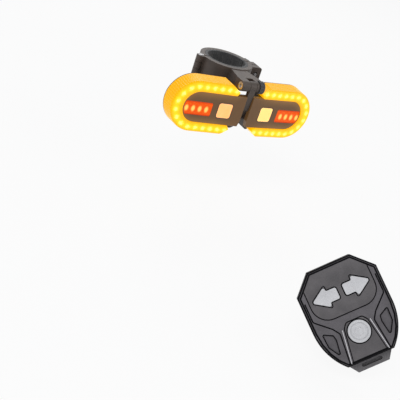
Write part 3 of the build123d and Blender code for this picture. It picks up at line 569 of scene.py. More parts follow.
@dataclass(frozen=True)
class PanelFinish:
    """Polished dark panel that takes a brown glow from the amber band round it."""

    side: Side
    base: Colour = (0.1, 0.05, 0.018)
    glow: Colour = (0.62, 0.31, 0.08)

    def material(self) -> Material:
        """Build the material."""
        sheet = Sheet(f"panel_gloss_{self.side.word}")
        light = PodLight(self.side)
        along, up, _ = light.local(sheet)
        across, _ = light.band(sheet, along, up)
        place = sheet.millimetres()
        near = sheet.spread(across, -9.0, -2.6)
        out = sheet.spread(along, 6.0, 22.0, 0.1, 1.0)
        near = sheet.times(sheet.math("POWER", near, 1.6), out)
        haze = sheet.noise(place, 11.0, 3.0)
        scuff = sheet.noise(place, 0.9, 4.0, 0.6)
        colour = sheet.cloud(haze, 0.3, 0.7, self.base, tuple(c * 1.2 for c in self.base))
        # painted glow: the amber band's light on the panel is given as emission, strongest next to the band
        spill = sheet.blend(near, (0.12, 0.058, 0.018), self.glow)
        return sheet.close({
            "Base Color": colour, "Roughness": sheet.spread(scuff, 0.35, 0.7, 0.34, 0.46),
            "Coat Weight": 0.18, "Coat Roughness": 0.2, "Specular IOR Level": 0.3,
            "Emission Color": spill, "Emission Strength": 0.34,
            "Normal": sheet.bump(scuff, 0.008, sheet.soft_edge(0.35)),
        })


@dataclass(frozen=True)
class RedWindowFinish:
    """Clear red plastic lit by its four lamps, with a deep rim and upright ribs."""

    side: Side
    first: float = 29.9
    pitch: float = 4.8
    count: int = 4
    lamp_up: float = -1.2
    middle_up: float = -0.9

    def material(self) -> Material:
        """Build the material."""
        sheet = Sheet(f"red_window_{self.side.word}")
        along, up, _ = PodLight(self.side).local(sheet)
        place = sheet.millimetres()
        shift = sheet.math("DIVIDE", sheet.minus(along, self.first - self.pitch / 2), self.pitch)
        inside = sheet.math("MINIMUM", sheet.math("MAXIMUM", shift, 0.0), float(self.count) - 0.001)
        cell = sheet.times(sheet.minus(sheet.math("FRACT", inside), 0.5), self.pitch)
        rise = sheet.minus(up, self.lamp_up)
        far = sheet.math("SQRT", sheet.plus(sheet.math("POWER", sheet.math("DIVIDE", cell, 1.5), 2.0),
                                            sheet.math("POWER", sheet.math("DIVIDE", rise, 2.3), 2.0)))
        core = sheet.spread(far, 0.55, 1.15, 1.0, 0.0)
        frame_up = sheet.spread(sheet.math("ABSOLUTE", sheet.minus(up, self.middle_up)), 3.4, 4.4)
        ribs = sheet.math("SINE", sheet.times(along, 2 * math.pi / 0.8))
        mottle = sheet.noise(place, 1.1, 2.0)
        body = sheet.cloud(mottle, 0.35, 0.65, (0.86, 0.09, 0.0), (0.96, 0.16, 0.0))
        lit = sheet.blend(core, body, (1.0, 0.72, 0.16))
        lit = sheet.blend(sheet.times(frame_up, 0.85), lit, (0.5, 0.03, 0.0))
        return sheet.close({
            "Base Color": (0.5, 0.03, 0.0), "Roughness": 0.24, "IOR": 1.49, "Transmission Weight": 0.02,
            "Emission Color": lit, "Emission Strength": sheet.spread(core, 0.0, 1.0, 0.62, 0.95),
            "Coat Weight": 0.05, "Coat Roughness": 0.08, "Specular IOR Level": 0.12,
            "Normal": sheet.bump(ribs, 0.05, sheet.soft_edge(0.25)),
        })


@dataclass(frozen=True)
class SquareWindowFinish:
    """Frosted clear plastic that glows warmly, paler along its rim where a glint is painted."""

    side: Side
    glow: Colour
    rim: Colour
    centre: float = 16.4
    middle_up: float = -0.6

    def material(self) -> Material:
        """Build the material."""
        sheet = Sheet(f"square_window_{self.side.word}")
        along, up, _ = PodLight(self.side).local(sheet)
        place = sheet.millimetres()
        wide = sheet.math("ABSOLUTE", sheet.minus(along, self.centre))
        high = sheet.math("ABSOLUTE", sheet.minus(up, self.middle_up))
        edge = sheet.spread(sheet.math("MAXIMUM", wide, high), 3.9, 5.0)
        frost = sheet.noise(place, 0.5, 3.0)
        cloud = sheet.noise(place, 3.5, 2.0)
        lit = sheet.blend(sheet.spread(cloud, 0.35, 0.7, 0.0, 0.45), self.glow, self.rim)
        # painted highlight: a glint along the rim, paler than the glow
        lit = sheet.blend(sheet.times(edge, 0.7), lit, self.rim)
        return sheet.close({
            "Base Color": self.glow, "Roughness": sheet.spread(frost, 0.3, 0.7, 0.3, 0.42), "IOR": 1.49,
            "Transmission Weight": 0.15, "Emission Color": lit, "Emission Strength": 0.6,
            "Coat Weight": 0.4, "Coat Roughness": 0.1,
            "Normal": sheet.bump(frost, 0.03, sheet.soft_edge(0.3)),
        })


# Shared steps of modelling


def bare() -> None:
    """Leave nothing selected and no object in edit mode."""
    if bpy.context.object is not None and bpy.context.object.mode != "OBJECT":
        bpy.ops.object.mode_set(mode="OBJECT")
    bpy.ops.object.select_all(action="DESELECT")


def resize(value: tuple, **settings: str) -> None:
    """Scale what is selected and write its new place, turn and size into the mesh."""
    bpy.ops.transform.resize(value=value, **settings)
    bpy.ops.object.transform_apply(location=True, rotation=True, scale=True)


class Bench:
    """One mesh object on the bench, from its first primitive to its place on the product."""

    def __init__(self, primitive: Callable[..., set], **sizes: object) -> None:
        """Add a primitive of the given sizes and keep it in hand."""
        bare()
        primitive(**sizes)
        self.obj = bpy.context.object

    def hold(self) -> None:
        """Leave only this piece selected and active."""
        bare()
        self.obj.select_set(True)
        bpy.context.view_layer.objects.active = self.obj

    def pick(self, kind: str, test: Callable[[Vector, Vector], bool] = lambda middle, normal: True) -> None:
        """Select faces, edges or corners by place and normal, in edit mode.

        Args:
            kind: "FACE", "EDGE" or "VERT".
            test: takes an element's middle and its normal and says whether it is wanted, which all are if
                there is no test.
        """
        if self.obj.mode != "EDIT":
            bpy.ops.object.mode_set(mode="EDIT")
        bpy.ops.mesh.select_mode(type=kind)
        bpy.ops.mesh.select_all(action="DESELECT")
        mesh = bmesh.from_edit_mesh(self.obj.data)
        groups = {"FACE": mesh.faces, "EDGE": mesh.edges, "VERT": mesh.verts}
        for item in groups[kind]:
            corners = [item] if kind == "VERT" else item.verts
            middle = sum((v.co for v in corners), Vector()) / len(corners)
            if kind == "EDGE":
                normal = sum((v.normal for v in corners), Vector()).normalized()
            else:
                normal = item.normal
            if test(middle, normal):
                item.select_set(True)
        bmesh.update_edit_mesh(self.obj.data)

    def bevel(self, width: float, segments: int = 2) -> None:
        """Round the sharp edges with a modifier that is applied."""
        self.hold()
        modifier = self.obj.modifiers.new("round", "BEVEL")
        modifier.width = width
        modifier.segments = segments
        modifier.limit_method = "ANGLE"
        modifier.angle_limit = SHARP
        bpy.ops.object.modifier_apply(modifier="round")

    def ring(self, wide: float, thick: float) -> None:
        """Keep a rim of the bench's one flat face and give it thickness."""
        self.hold()
        self.pick("FACE")
        bpy.ops.mesh.inset(thickness=wide)
        bpy.ops.mesh.delete(type="FACE")
        self.pick("FACE")
        bpy.ops.mesh.extrude_region_move(TRANSFORM_OT_translate={"value": (0, 0, thick)})
        self.outward()

    def outward(self) -> None:
        """Merge doubles and turn every face outward."""
        self.pick("FACE")
        bpy.ops.mesh.remove_doubles(threshold=0.0005)
        bpy.ops.mesh.normals_make_consistent(inside=False)
        bpy.ops.object.mode_set(mode="OBJECT")

    def copies(self, places: Sequence[Matrix]) -> None:
        """Put a copy with its own mesh at each place and join them into one piece."""
        bare()
        items = []
        for place in places:
            copy = self.obj.copy()
            copy.data = self.obj.data.copy()
            copy.data.transform(place)
            bpy.context.collection.objects.link(copy)
            items.append(copy)
        bpy.data.objects.remove(self.obj)
        for item in items:
            item.select_set(True)
        bpy.context.view_layer.objects.active = items[0]
        bpy.ops.object.join()
        self.obj = bpy.context.object

    def join(self, others: Sequence["Bench"]) -> None:
        """Make this piece and others one object."""
        bare()
        for bench in (self, *others):
            bench.obj.select_set(True)
        bpy.context.view_layer.objects.active = self.obj
        bpy.ops.object.join()

    def two_tone(self, first: Material, second: Material) -> None:
        """Give the piece one finish and its selected faces another."""
        self.obj.data.materials.append(first)
        self.obj.data.materials.append(second)
        self.obj.active_material_index = 1
        bpy.ops.object.material_slot_assign()
        bpy.ops.object.mode_set(mode="OBJECT")

    def place(self, name: str, matrix: Matrix, materials: Sequence[Material], body: str,
              slot: str) -> bpy.types.Object:
        """Move the mesh to its place on the product and let it ride on its body.

        Args:
            name: the piece's name.
            matrix: from the bench's millimetres to the product.
            materials: the finishes, in the order of the mesh's slots.
            body: the moving body it belongs to.
            slot: a material slot of the record; not used.

        Returns:
            The finished object.
        """
        self.hold()
        obj = self.obj
        bpy.ops.object.transform_apply(location=True, rotation=True, scale=True)
        obj.data.transform(matrix)
        bpy.ops.object.shade_smooth_by_angle(angle=SMOOTH)
        obj.name = name
        obj.data.name = name
        obj.data.materials.clear()
        for material in materials:
            obj.data.materials.append(material)
        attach(obj, body)
        LOG.info("piece %s: %d faces on %s", name, len(obj.data.polygons), body)
        return obj


def ring_and_bar(radius: float, wire: float, steps: int, cut: tuple[float, float],
                 bar: tuple[float, float]) -> Bench:
    """A ring of wire with a gap at its top and a bar that stands in the gap.

    Args:
        radius: the ring's radius to the middle of its wire.
        wire: the wire's own radius.
        steps: how many steps the ring has.
        cut: the height above which the ring's faces go, and the one above which its ends are closed.
        bar: the bar's length and the height of its middle.

    Returns:
        Both as one piece.
    """
    ring = Bench(bpy.ops.mesh.primitive_torus_add, major_radius=radius, minor_radius=wire,
                 major_segments=steps, minor_segments=10)
    ring.pick("FACE", lambda middle, normal: middle.y > cut[0])
    bpy.ops.mesh.delete(type="FACE")
    ring.pick("EDGE", lambda middle, normal: middle.y > cut[1])
    bpy.ops.mesh.select_non_manifold()
    bpy.ops.mesh.edge_face_add()
    bpy.ops.object.mode_set(mode="OBJECT")
    post = Bench(bpy.ops.mesh.primitive_cylinder_add, vertices=16, radius=wire, depth=bar[0],
                 location=(0, bar[1], 0), rotation=(math.pi / 2, 0, 0))
    post.bevel(0.08)
    ring.join([post])
    ring.outward()
    return ring


def paint(nodes: dict, material: Material, *names: str) -> None:
    """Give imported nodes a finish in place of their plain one."""
    for name in names:
        mesh = nodes[name].data
        mesh.materials.clear()
        mesh.materials.append(material)
        LOG.info("finish %s on %s", material.name, name)


class Finishes:
    """The finishes that several sub-assemblies share, each built once."""

    def __init__(self) -> None:
        """Build them all."""
        self.housing = MouldedPlastic(
            "housing_plastic", (0.046, 0.033, 0.026), (0.068, 0.048, 0.037), (0.15, 0.115, 0.09),
            0.5).material()
        self.rubber = SoftRubber(
            "black_rubber", (0.022, 0.022, 0.023), (0.06, 0.058, 0.056)).material()
        self.liner = SoftRubber(
            "liner_rubber", (0.025, 0.025, 0.026), (0.07, 0.068, 0.066), 0.72, 1.9).material()
        self.steel = PlatedMetal(
            "zinc_steel", (0.52, 0.52, 0.53), (0.33, 0.32, 0.31), 0.34).material()
        self.nickel = PlatedMetal(
            "nickel_plate", (0.7, 0.68, 0.63), (0.52, 0.5, 0.46), 0.24, Grind.TURNED).material()
        self.board = CircuitBoard(
            "green_board", (0.012, 0.09, 0.04), (0.03, 0.16, 0.07)).material()
        self.chip = MouldedPlastic(
            "chip_resin", (0.02, 0.02, 0.022), (0.03, 0.03, 0.032), (0.08, 0.08, 0.08),
            0.45, 0.2, 0.02).material()
        self.case = MouldedPlastic(
            "lamp_case_white", (0.8, 0.78, 0.72), (0.72, 0.7, 0.62), (0.86, 0.84, 0.8),
            0.4, 0.2, 0.01).material()


@dataclass
class Pod:
    """One pod of the lamp: its lens, panel, windows and lit lamps."""

    side: Side
    nodes: dict
    shared: Finishes
    led_count: int = 8
    led_pitch: float = 5.5
    led_long: float = 2.2
    led_wide: float = 1.7
    led_tall: float = 0.8
    led_depth: float = 8.6
    red_first: float = 29.9
    red_pitch: float = 4.8
    red_up: float = -1.2
    red_depth: float = 7.4
    red_foot: float = 0.86
    red_count: int = 4
    square_centre: float = 16.4
    square_half: float = 5.1
    square_up: float = -0.6
    panel_depth: float = 0.4
    frame_wide: float = 0.45
    frame_proud: float = 0.14

    def node(self, name: str) -> str:
        """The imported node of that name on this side."""
        return f"{name}_{self.side.word}"

    def dress(self) -> None:
        """Give this side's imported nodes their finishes."""
        warm = ((0.93, 0.42, 0.12), (0.98, 0.62, 0.3))
        if self.side is Side.RIGHT:
            warm = ((0.96, 0.6, 0.17), (1.0, 0.74, 0.33))
        paint(self.nodes, AmberLensFinish(self.side).material(), self.node("amber_lens"))
        paint(self.nodes, PanelFinish(self.side).material(), self.node("front_panel"))
        paint(self.nodes, RedWindowFinish(self.side).material(), self.node("red_window"))
        paint(self.nodes, SquareWindowFinish(self.side, *warm).material(), self.node("square_window"))
        paint(self.nodes, self.shared.housing, self.node("rear_housing"))
        paint(self.nodes, self.shared.rubber, self.node("lens_seal"))
        paint(self.nodes, self.shared.board, self.node("amber_board"), self.node("red_board"))

    def band_places(self) -> list[Matrix]:
        """Where the amber lamps stand, turned to follow the C."""
        light = PodLight(self.side)
        quarter = light.radius * math.pi / 2
        places = []
        for end in (1, -1):
            for number in range(self.led_count):
                run = (number + 0.5) * self.led_pitch
                turn = min(run, quarter) / light.radius
                x = light.nose + light.radius * math.cos(turn) - max(run - quarter, 0.0)
                y = end * (light.middle if run > quarter else light.middle * math.sin(turn))
                angle = end * turn + math.pi / 2 if run < quarter else 0.0
                spot = Matrix.Translation((self.side.value * x, y, -self.led_depth))
                places.append(spot @ Matrix.Rotation(self.side.value * angle, 4, "Z"))
        return places

    def amber_lamps(self, glow: Material) -> None:
        """Small cases with a sunk glowing pool, along the C."""
        bench = Bench(bpy.ops.mesh.primitive_cube_add, size=1, location=(0, 0, self.led_tall / 2))
        resize((self.led_long, self.led_wide, self.led_tall))
        bench.pick("FACE", lambda middle, normal: normal.z > 0.9)
        bpy.ops.mesh.inset(thickness=0.22)
        bpy.ops.mesh.inset(thickness=0.08, depth=-0.12)
        bench.two_tone(self.shared.case, glow)
        bench.bevel(0.05, 1)
        bench.copies(self.band_places())
        piece = bench.place("amber_lamps_" + self.side.word, lamp_place(self.side), [self.shared.case, glow],
                            "lamp_head", "led_body")
        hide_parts(self.node("amber_leds"))

    def red_lamps(self, glow: Material) -> None:
        """Oval domes on a flanged foot behind the red window."""
        bench = Bench(bpy.ops.mesh.primitive_uv_sphere_add, segments=20, ring_count=12, radius=1)
        resize((1.3, 2.0, 1.1))
        bench.pick("FACE")
        bpy.ops.mesh.bisect(plane_co=(0, 0, 0.05), plane_no=(0, 0, 1), clear_inner=True, use_fill=True)
        bench.pick("FACE", lambda middle, normal: normal.z < -0.9)
        bpy.ops.mesh.extrude_region_move(TRANSFORM_OT_translate={"value": (0, 0, -0.65)})
        bpy.ops.mesh.extrude_region_move(TRANSFORM_OT_translate={"value": (0, 0, 0)})
        bpy.ops.transform.resize(value=(1.06, 1.04, 1))
        bpy.ops.mesh.extrude_region_move(TRANSFORM_OT_translate={"value": (0, 0, -0.25)})
        bpy.ops.object.mode_set(mode="OBJECT")
        bench.outward()
        places = []
        for number in range(self.red_count):
            x = self.side.value * (self.red_first + number * self.red_pitch)
            places.append(Matrix.Translation((x, self.red_up, -self.red_depth + self.red_foot)))
        bench.copies(places)
        piece = bench.place("red_lamps_" + self.side.word, lamp_place(self.side), [glow],
                            "lamp_head", "led_body")
        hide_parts(self.node("red_leds"))

    def square_frame(self) -> None:
        """A thin raised frame round the square window."""
        bench = Bench(bpy.ops.mesh.primitive_plane_add, size=2 * (self.square_half + self.frame_wide))
        bench.pick("VERT")
        bpy.ops.mesh.bevel(offset=1.5 + self.frame_wide, segments=6, affect="VERTICES")
        bench.ring(self.frame_wide, self.frame_proud + 0.1)
        bench.bevel(0.06)
        x = self.side.value * self.square_centre
        centre = Matrix.Translation((x, self.square_up, -self.panel_depth - 0.1))
        bench.place("square_frame_" + self.side.word, lamp_place(self.side) @ centre, [self.shared.housing],
                    "lamp_head", "panel_gloss")

    def build(self, amber: Material, red: Material) -> None:
        """Dress this side and make its lamps and frame."""
        self.dress()
        self.amber_lamps(amber)
        self.red_lamps(red)
        self.square_frame()


@dataclass
class LampInside:
    """What lies inside the rear housings and between the pods."""

    nodes: dict
    shared: Finishes
    board_depth: float = 11.9
    part_tall: float = 0.7
    part_spots: tuple = (
        (22.6, 6.6, 1.6, 0.9), (22.6, 4.4, 1.6, 0.9), (24.4, -6.6, 1.2, 2.0), (28.2, -3.2, 2.2, 1.4),
        (28.2, -6.6, 2.2, 1.4), (38.0, -5.0, 1.2, 2.2), (38.2, 5.8, 1.2, 2.2), (29.0, 0.0, 1.0, 1.8),
    )

    def dress(self) -> None:
        """Give the inner nodes their finishes."""
        paint(self.nodes, self.shared.housing, "centre_spine")
        paint(self.nodes, self.shared.steel, "lens_screws", "spine_screws")
        paint(self.nodes, self.shared.rubber, "power_button", "port_cover")
        paint(self.nodes, self.shared.chip, "power_switch")
        paint(self.nodes, self.shared.board, "control_board")
        paint(self.nodes, self.shared.nickel, "charging_port")
        paint(self.nodes, PouchFoil().material(), "battery")
        paint(self.nodes, RibbonCable().material(), "link_cable")
        paint(self.nodes, Ceramic().material(), "receiver_antenna")
        glow = Phosphor("square_lamp_glow", (1.0, 0.82, 0.5), (0.95, 0.7, 0.3), 1.6)
        paint(self.nodes, glow.material(), "square_leds")

    def board_parts(self) -> None:
        """Small surface parts with tinned ends on the control board."""
        benches = []
        for x, y, long, wide in self.part_spots:
            middle = (x, y, -self.board_depth - self.part_tall / 2)
            bench = Bench(bpy.ops.mesh.primitive_cube_add, size=1, location=middle)
            resize((long, wide, self.part_tall))
            bench.pick("FACE", lambda middle, normal: abs(normal.x) > 0.9)
            bpy.ops.mesh.extrude_region_shrink_fatten(TRANSFORM_OT_shrink_fatten={"value": 0.25})
            bench.two_tone(self.shared.chip, self.shared.nickel)
            bench.bevel(0.08)
            benches.append(bench)
        benches[0].join(benches[1:])
        benches[0].place("board_parts", lamp_place(Side.RIGHT), [self.shared.chip, self.shared.nickel],
                         "lamp_head", "switch_black")

    def button_mark(self) -> None:
        """The raised ring and bar on the power button."""
        ring = ring_and_bar(1.5, 0.2, 40, (1.15, 0.9), (1.5, 1.2))
        spot = Matrix.Translation(BUTTON_SPOT)
        ring.place("power_mark", lamp_place(Side.LEFT) @ spot, [self.shared.case],
                   "power_button", "seal_rubber")


@dataclass
class Mount:
    """The arm, the hinged clamp and their fasteners."""

    nodes: dict
    shared: Finishes

    def dress(self) -> None:
        """Give the mount's nodes their finishes."""
        paint(self.nodes, self.shared.housing, "mount_arm", "clamp_hoop")
        paint(self.nodes, self.shared.liner, "post_liner_front", "post_liner_back")
        paint(self.nodes, self.shared.steel, "hoop_pin", "tilt_bolt", "clamp_nut", "clamp_screw")
        grip = MouldedPlastic(
            "grip_plastic", (0.028, 0.028, 0.03), (0.04, 0.04, 0.042), (0.13, 0.13, 0.13), 0.48)
        paint(self.nodes, grip.material(), "screw_grip", "tilt_knob")

    def grip_cap(self) -> None:
        """The domed cap set into the thumb screw's grip."""
        bench = Bench(bpy.ops.mesh.primitive_cylinder_add, vertices=40, radius=3.1, depth=0.5)
        bench.pick("FACE", lambda middle, normal: normal.z > 0.9)
        bpy.ops.mesh.inset(thickness=0.45, depth=0.16)
        bpy.ops.mesh.inset(thickness=0.3, depth=-0.12)
        bpy.ops.mesh.inset(thickness=0.5)
        bpy.ops.mesh.inset(thickness=0.5, depth=0.08)
        bpy.ops.object.mode_set(mode="OBJECT")
        bench.bevel(0.08)
        turn = Matrix.Rotation(-math.pi / 2, 4, "X")
        spot = Matrix.Scale(MM, 4) @ Matrix.Translation((SCREW_X, GRIP_SEAT, 0)) @ turn
        bench.place("grip_cap", spot, [self.shared.housing], "thumb_screw", "grip_black")

    def pin_caps(self) -> None:
        """Riveted ends on the hoop's hinge pin."""
        bench = Bench(bpy.ops.mesh.primitive_uv_sphere_add, segments=24, ring_count=12, radius=1.25)
        resize((1, 1, 0.28))
        bench.pick("FACE")
        bpy.ops.mesh.bisect(plane_co=(0, 0, 0), plane_no=(0, 0, 1), clear_inner=True, use_fill=True)
        bpy.ops.object.mode_set(mode="OBJECT")
        low = Matrix.Translation((PIN_X, 0, -PIN_DISH)) @ Matrix.Rotation(math.pi, 4, "X")
        bench.copies([Matrix.Translation((PIN_X, 0, PIN_DISH)), low])
        bench.place("pin_rivets", Matrix.Scale(MM, 4), [self.shared.steel], "mount", "screw_steel")


@dataclass
class Remote:
    """The wireless remote: its shells, plates, keys and marks."""

    nodes: dict
    shared: Finishes
    arrow_up: float = 11.4
    arrow_tip: float = 15.6
    arrow_base: float = 7.0
    arrow_head: float = 5.6
    arrow_shaft: float = 3.0
    arrow_in: float = 1.7
    arrow_round: float = 0.9
    round_up: float = -10.2
    round_radius: float = 5.7
    key_gap: float = 0.14
    gap_shadow_wide: float = 0.5
    gap_shadow_high: float = 0.2
    gap_shadow_steps: int = 72
    line_sink: float = 0.02

    def __post_init__(self) -> None:
        """Build the remote's own finishes."""
        self.shell = MouldedPlastic(
            "remote_shell_grain", (0.075, 0.069, 0.077), (0.11, 0.102, 0.113), (0.3, 0.29, 0.31),
            0.52, 0.42, 0.09, 1.0, 0.2, sunk=(0.12, 0.3)).material()
        self.back = MouldedPlastic(
            "remote_back_grain", (0.1, 0.095, 0.1), (0.15, 0.143, 0.15), (0.3, 0.29, 0.31),
            0.52, 0.42, 0.07, 1.0, 0.3).material()
        self.plate = MouldedPlastic(
            "remote_plate_grain", (0.066, 0.061, 0.066), (0.105, 0.097, 0.103), (0.26, 0.25, 0.27),
            0.48, 0.36, 0.08, 1.0, 0.2, sunk=(0.05, 0.16)).material()
        self.key = MouldedPlastic("key_grey", (0.6, 0.6, 0.62), (0.68, 0.68, 0.7), (0.82, 0.82, 0.83),
                                  0.42, 0.3, 0.015, 1.5, 0.25, 0.2).material()
        # painted shade: near-black cords laid where gaps and grooves fall into shade
        self.ink = SoftRubber("painted_gap_shade_black", (0.002, 0.002, 0.003), (0.004, 0.004, 0.005), 0.6,
                              sheen=0.0, shine=0.06).material()
        # one finish for the painted highlight bars and the real mark on the round key
        self.trim = MouldedPlastic("pale_mark_and_highlight_grey", (0.62, 0.61, 0.63), (0.7, 0.69, 0.71), (0.8, 0.79, 0.81),
                                   0.4, 0.3, 0.02).material()

    def dress(self) -> None:
        """Give the remote's nodes their finishes."""
        paint(self.nodes, self.shell, "remote_top_shell")
        paint(self.nodes, self.back, "remote_back_shell", "battery_door")
        paint(self.nodes, self.plate, "remote_upper_plate", "remote_lower_plate")
        paint(self.nodes, self.key, "arrow_key_left", "arrow_key_right", "round_key")
        silicone = SoftRubber("mat_silicone", (0.2, 0.2, 0.21), (0.3, 0.3, 0.31), 0.55)
        paint(self.nodes, silicone.material(), "key_mat")
        paint(self.nodes, self.shared.nickel, "dome_switches", "coin_cell", "cell_contact")
        paint(self.nodes, self.shared.board, "remote_board")
        paint(self.nodes, self.shared.rubber, "door_seal")
        paint(self.nodes, self.shared.steel, "remote_screws")

    def key_gap_shadows(self) -> None:
        """Black cords in the gaps round the keys: painted shade."""
        grow = self.key_gap + self.gap_shadow_wide / 2
        slope = math.hypot(self.arrow_tip - self.arrow_base, self.arrow_head)
        tip = self.arrow_tip + grow * slope / self.arrow_head
        base = self.arrow_base - grow
        inner = self.arrow_in - grow
        shaft = self.arrow_shaft + grow
        head = (tip - base) * self.arrow_head / (self.arrow_tip - self.arrow_base)
        bend = self.arrow_round + grow
        sunk = self.arrow_round - grow
        corners = [
            (inner, shaft), (base, shaft), (base, head), (tip, 0), (base, -head), (base, -shaft),
            (inner, -shaft),
        ]
        bends = [bend, sunk, bend, bend, bend, sunk, bend]
        benches = []
        for side in (1, -1):
            path = [(side * x, self.arrow_up + y) for x, y in corners]
            benches.append(self.cord(path, bends, True, self.gap_shadow_wide, self.gap_shadow_high))
        reach = self.round_radius + grow
        angles = [2 * math.pi * number / self.gap_shadow_steps for number in range(self.gap_shadow_steps)]
        circle = [(reach * math.cos(angle), self.round_up + reach * math.sin(angle)) for angle in angles]
        benches.append(self.cord(circle, [0.0] * len(circle), True, self.gap_shadow_wide, self.gap_shadow_high))
        benches[0].join(benches[1:])
        benches[0].place("key_gap_shadow_lines", remote_place(), [self.ink], "mount", "remote_plate_black")

    def rounded(self, points: Sequence[tuple], radii: Sequence[float], closed: bool) -> list[tuple]:
        """The points of an outline with each bend replaced by an arc.

        Args:
            points: the corners in order.
            radii: the radius at each corner, where nought keeps it sharp.
            closed: whether the outline returns to its start.

        Returns:
            The points of the curved outline.
        """
        count = len(points)
        result = []
        for number, (point, radius) in enumerate(zip(points, radii)):
            if radius == 0 or (not closed and number in (0, count - 1)):
                result.append(point)
                continue
            corner = Vector(point)
            before = Vector(points[number - 1]) - corner
            after = Vector(points[(number + 1) % count]) - corner
            half = before.angle(after) / 2
            reach = min(radius / math.tan(half), before.length * 0.49, after.length * 0.49)
            first = corner + before.normalized() * reach
            last = corner + after.normalized() * reach
            for step in range(9):
                share = step / 8
                pull = 2 * share * (1 - share) * math.sin(half)
                start, end = (1 - share) ** 2, share ** 2
                result.append(tuple((first * start + corner * pull + last * end) / (start + pull + end)))
        return result

    def cord(self, points: Sequence[tuple], radii: Sequence[float], closed: bool, wide: float,
             high: float) -> Bench:
        """A flattened cord that lies along an outline on the face."""
        bench = Bench(bpy.ops.curve.primitive_bezier_curve_add)
        curve = bench.obj.data
        curve.splines.clear()
        path = self.rounded(points, radii, closed)
        spline = curve.splines.new("POLY")
        spline.points.add(len(path) - 1)
        for point, (x, y) in zip(spline.points, path):
            point.co = (x, y, 0, 1)
        spline.use_cyclic_u = closed
        curve.dimensions = "3D"
        curve.bevel_depth = wide / 2
        curve.bevel_resolution = 3
        curve.use_fill_caps = not closed
        bpy.ops.object.convert(target="MESH")
        resize((1, 1, high / wide))
        bench.outward()
        return bench

    def lines(self) -> None:
        """Black cords of painted shade in the grooves, round the gills and along the edges of the plates."""
        # painted shade along the grooves, the gills, the plate edges and the rim of the shell
        rim = [*RIM, *[(-x, y) for x, y in reversed(RIM)]]
        benches = [
            self.cord(APRON, [2.0, 2.0, 0.0, 0.0, 2.0, 2.0], True, 0.6, 0.2),
            self.cord(BIB, [0.0, 8.8, 8.8, 0.0], False, 0.6, 0.2),
            self.cord(rim, [0.0] * len(rim), True, 0.95, 0.2),
        ]
        for side in (1, -1):
            groove = [(side * x, y) for x, y in GROOVE]
            gill = [(side * x, y) for x, y in GILL]
            benches.append(self.cord(groove, [2.0] * len(groove), False, 0.7, 0.24))
            benches.append(self.cord(gill, [0.6] * len(gill), True, 0.6, 0.2))
        benches[0].join(benches[1:])
        low = Matrix.Translation((0, 0, -self.line_sink))
        benches[0].place("groove_shadow_lines", remote_place() @ low, [self.ink], "mount", "remote_plate_black")

    def bar(self, start: tuple, end: tuple, wide: float, high: float) -> Bench:
        """A rounded bar on the face between two points."""
        run = Vector(end) - Vector(start)
        middle = (Vector(start) + Vector(end)) / 2
        bench = Bench(bpy.ops.mesh.primitive_cube_add, size=1, location=(middle.x, middle.y, 0),
                      rotation=(0, 0, math.atan2(run.y, run.x)))
        resize((run.length, wide, high), orient_type="LOCAL")
        bench.bevel(min(wide, high) * 0.35)
        return bench

    def trims(self) -> None:
        """Pale bars beside the lower plate, a painted highlight along its edges."""
        benches = []
        for side in (1, -1):
            # painted highlight: pale bars where the bevelled edges of the lower plate catch the light
            benches.append(self.bar((side * 7.5, -6.6), (side * 10.1, -23.4), 0.45, 0.24))
        benches[0].join(benches[1:])
        proud = Matrix.Translation((0, 0, self.line_sink))
        benches[0].place("plate_trims", remote_place() @ proud, [self.trim], "mount", "key_grey")

    def key_mark(self) -> None:
        """The ring and bar on the round key."""
        ring = ring_and_bar(2.1, 0.24, 48, (1.65, 1.2), (2.1, 1.5))
        ring.obj.data.transform(Matrix.Diagonal((1, 1, 0.45, 1)))
        spot = Matrix.Translation((0, self.round_up, 0.5))
        ring.place("round_key_mark", remote_place() @ spot, [self.trim], "round_key", "key_grey")


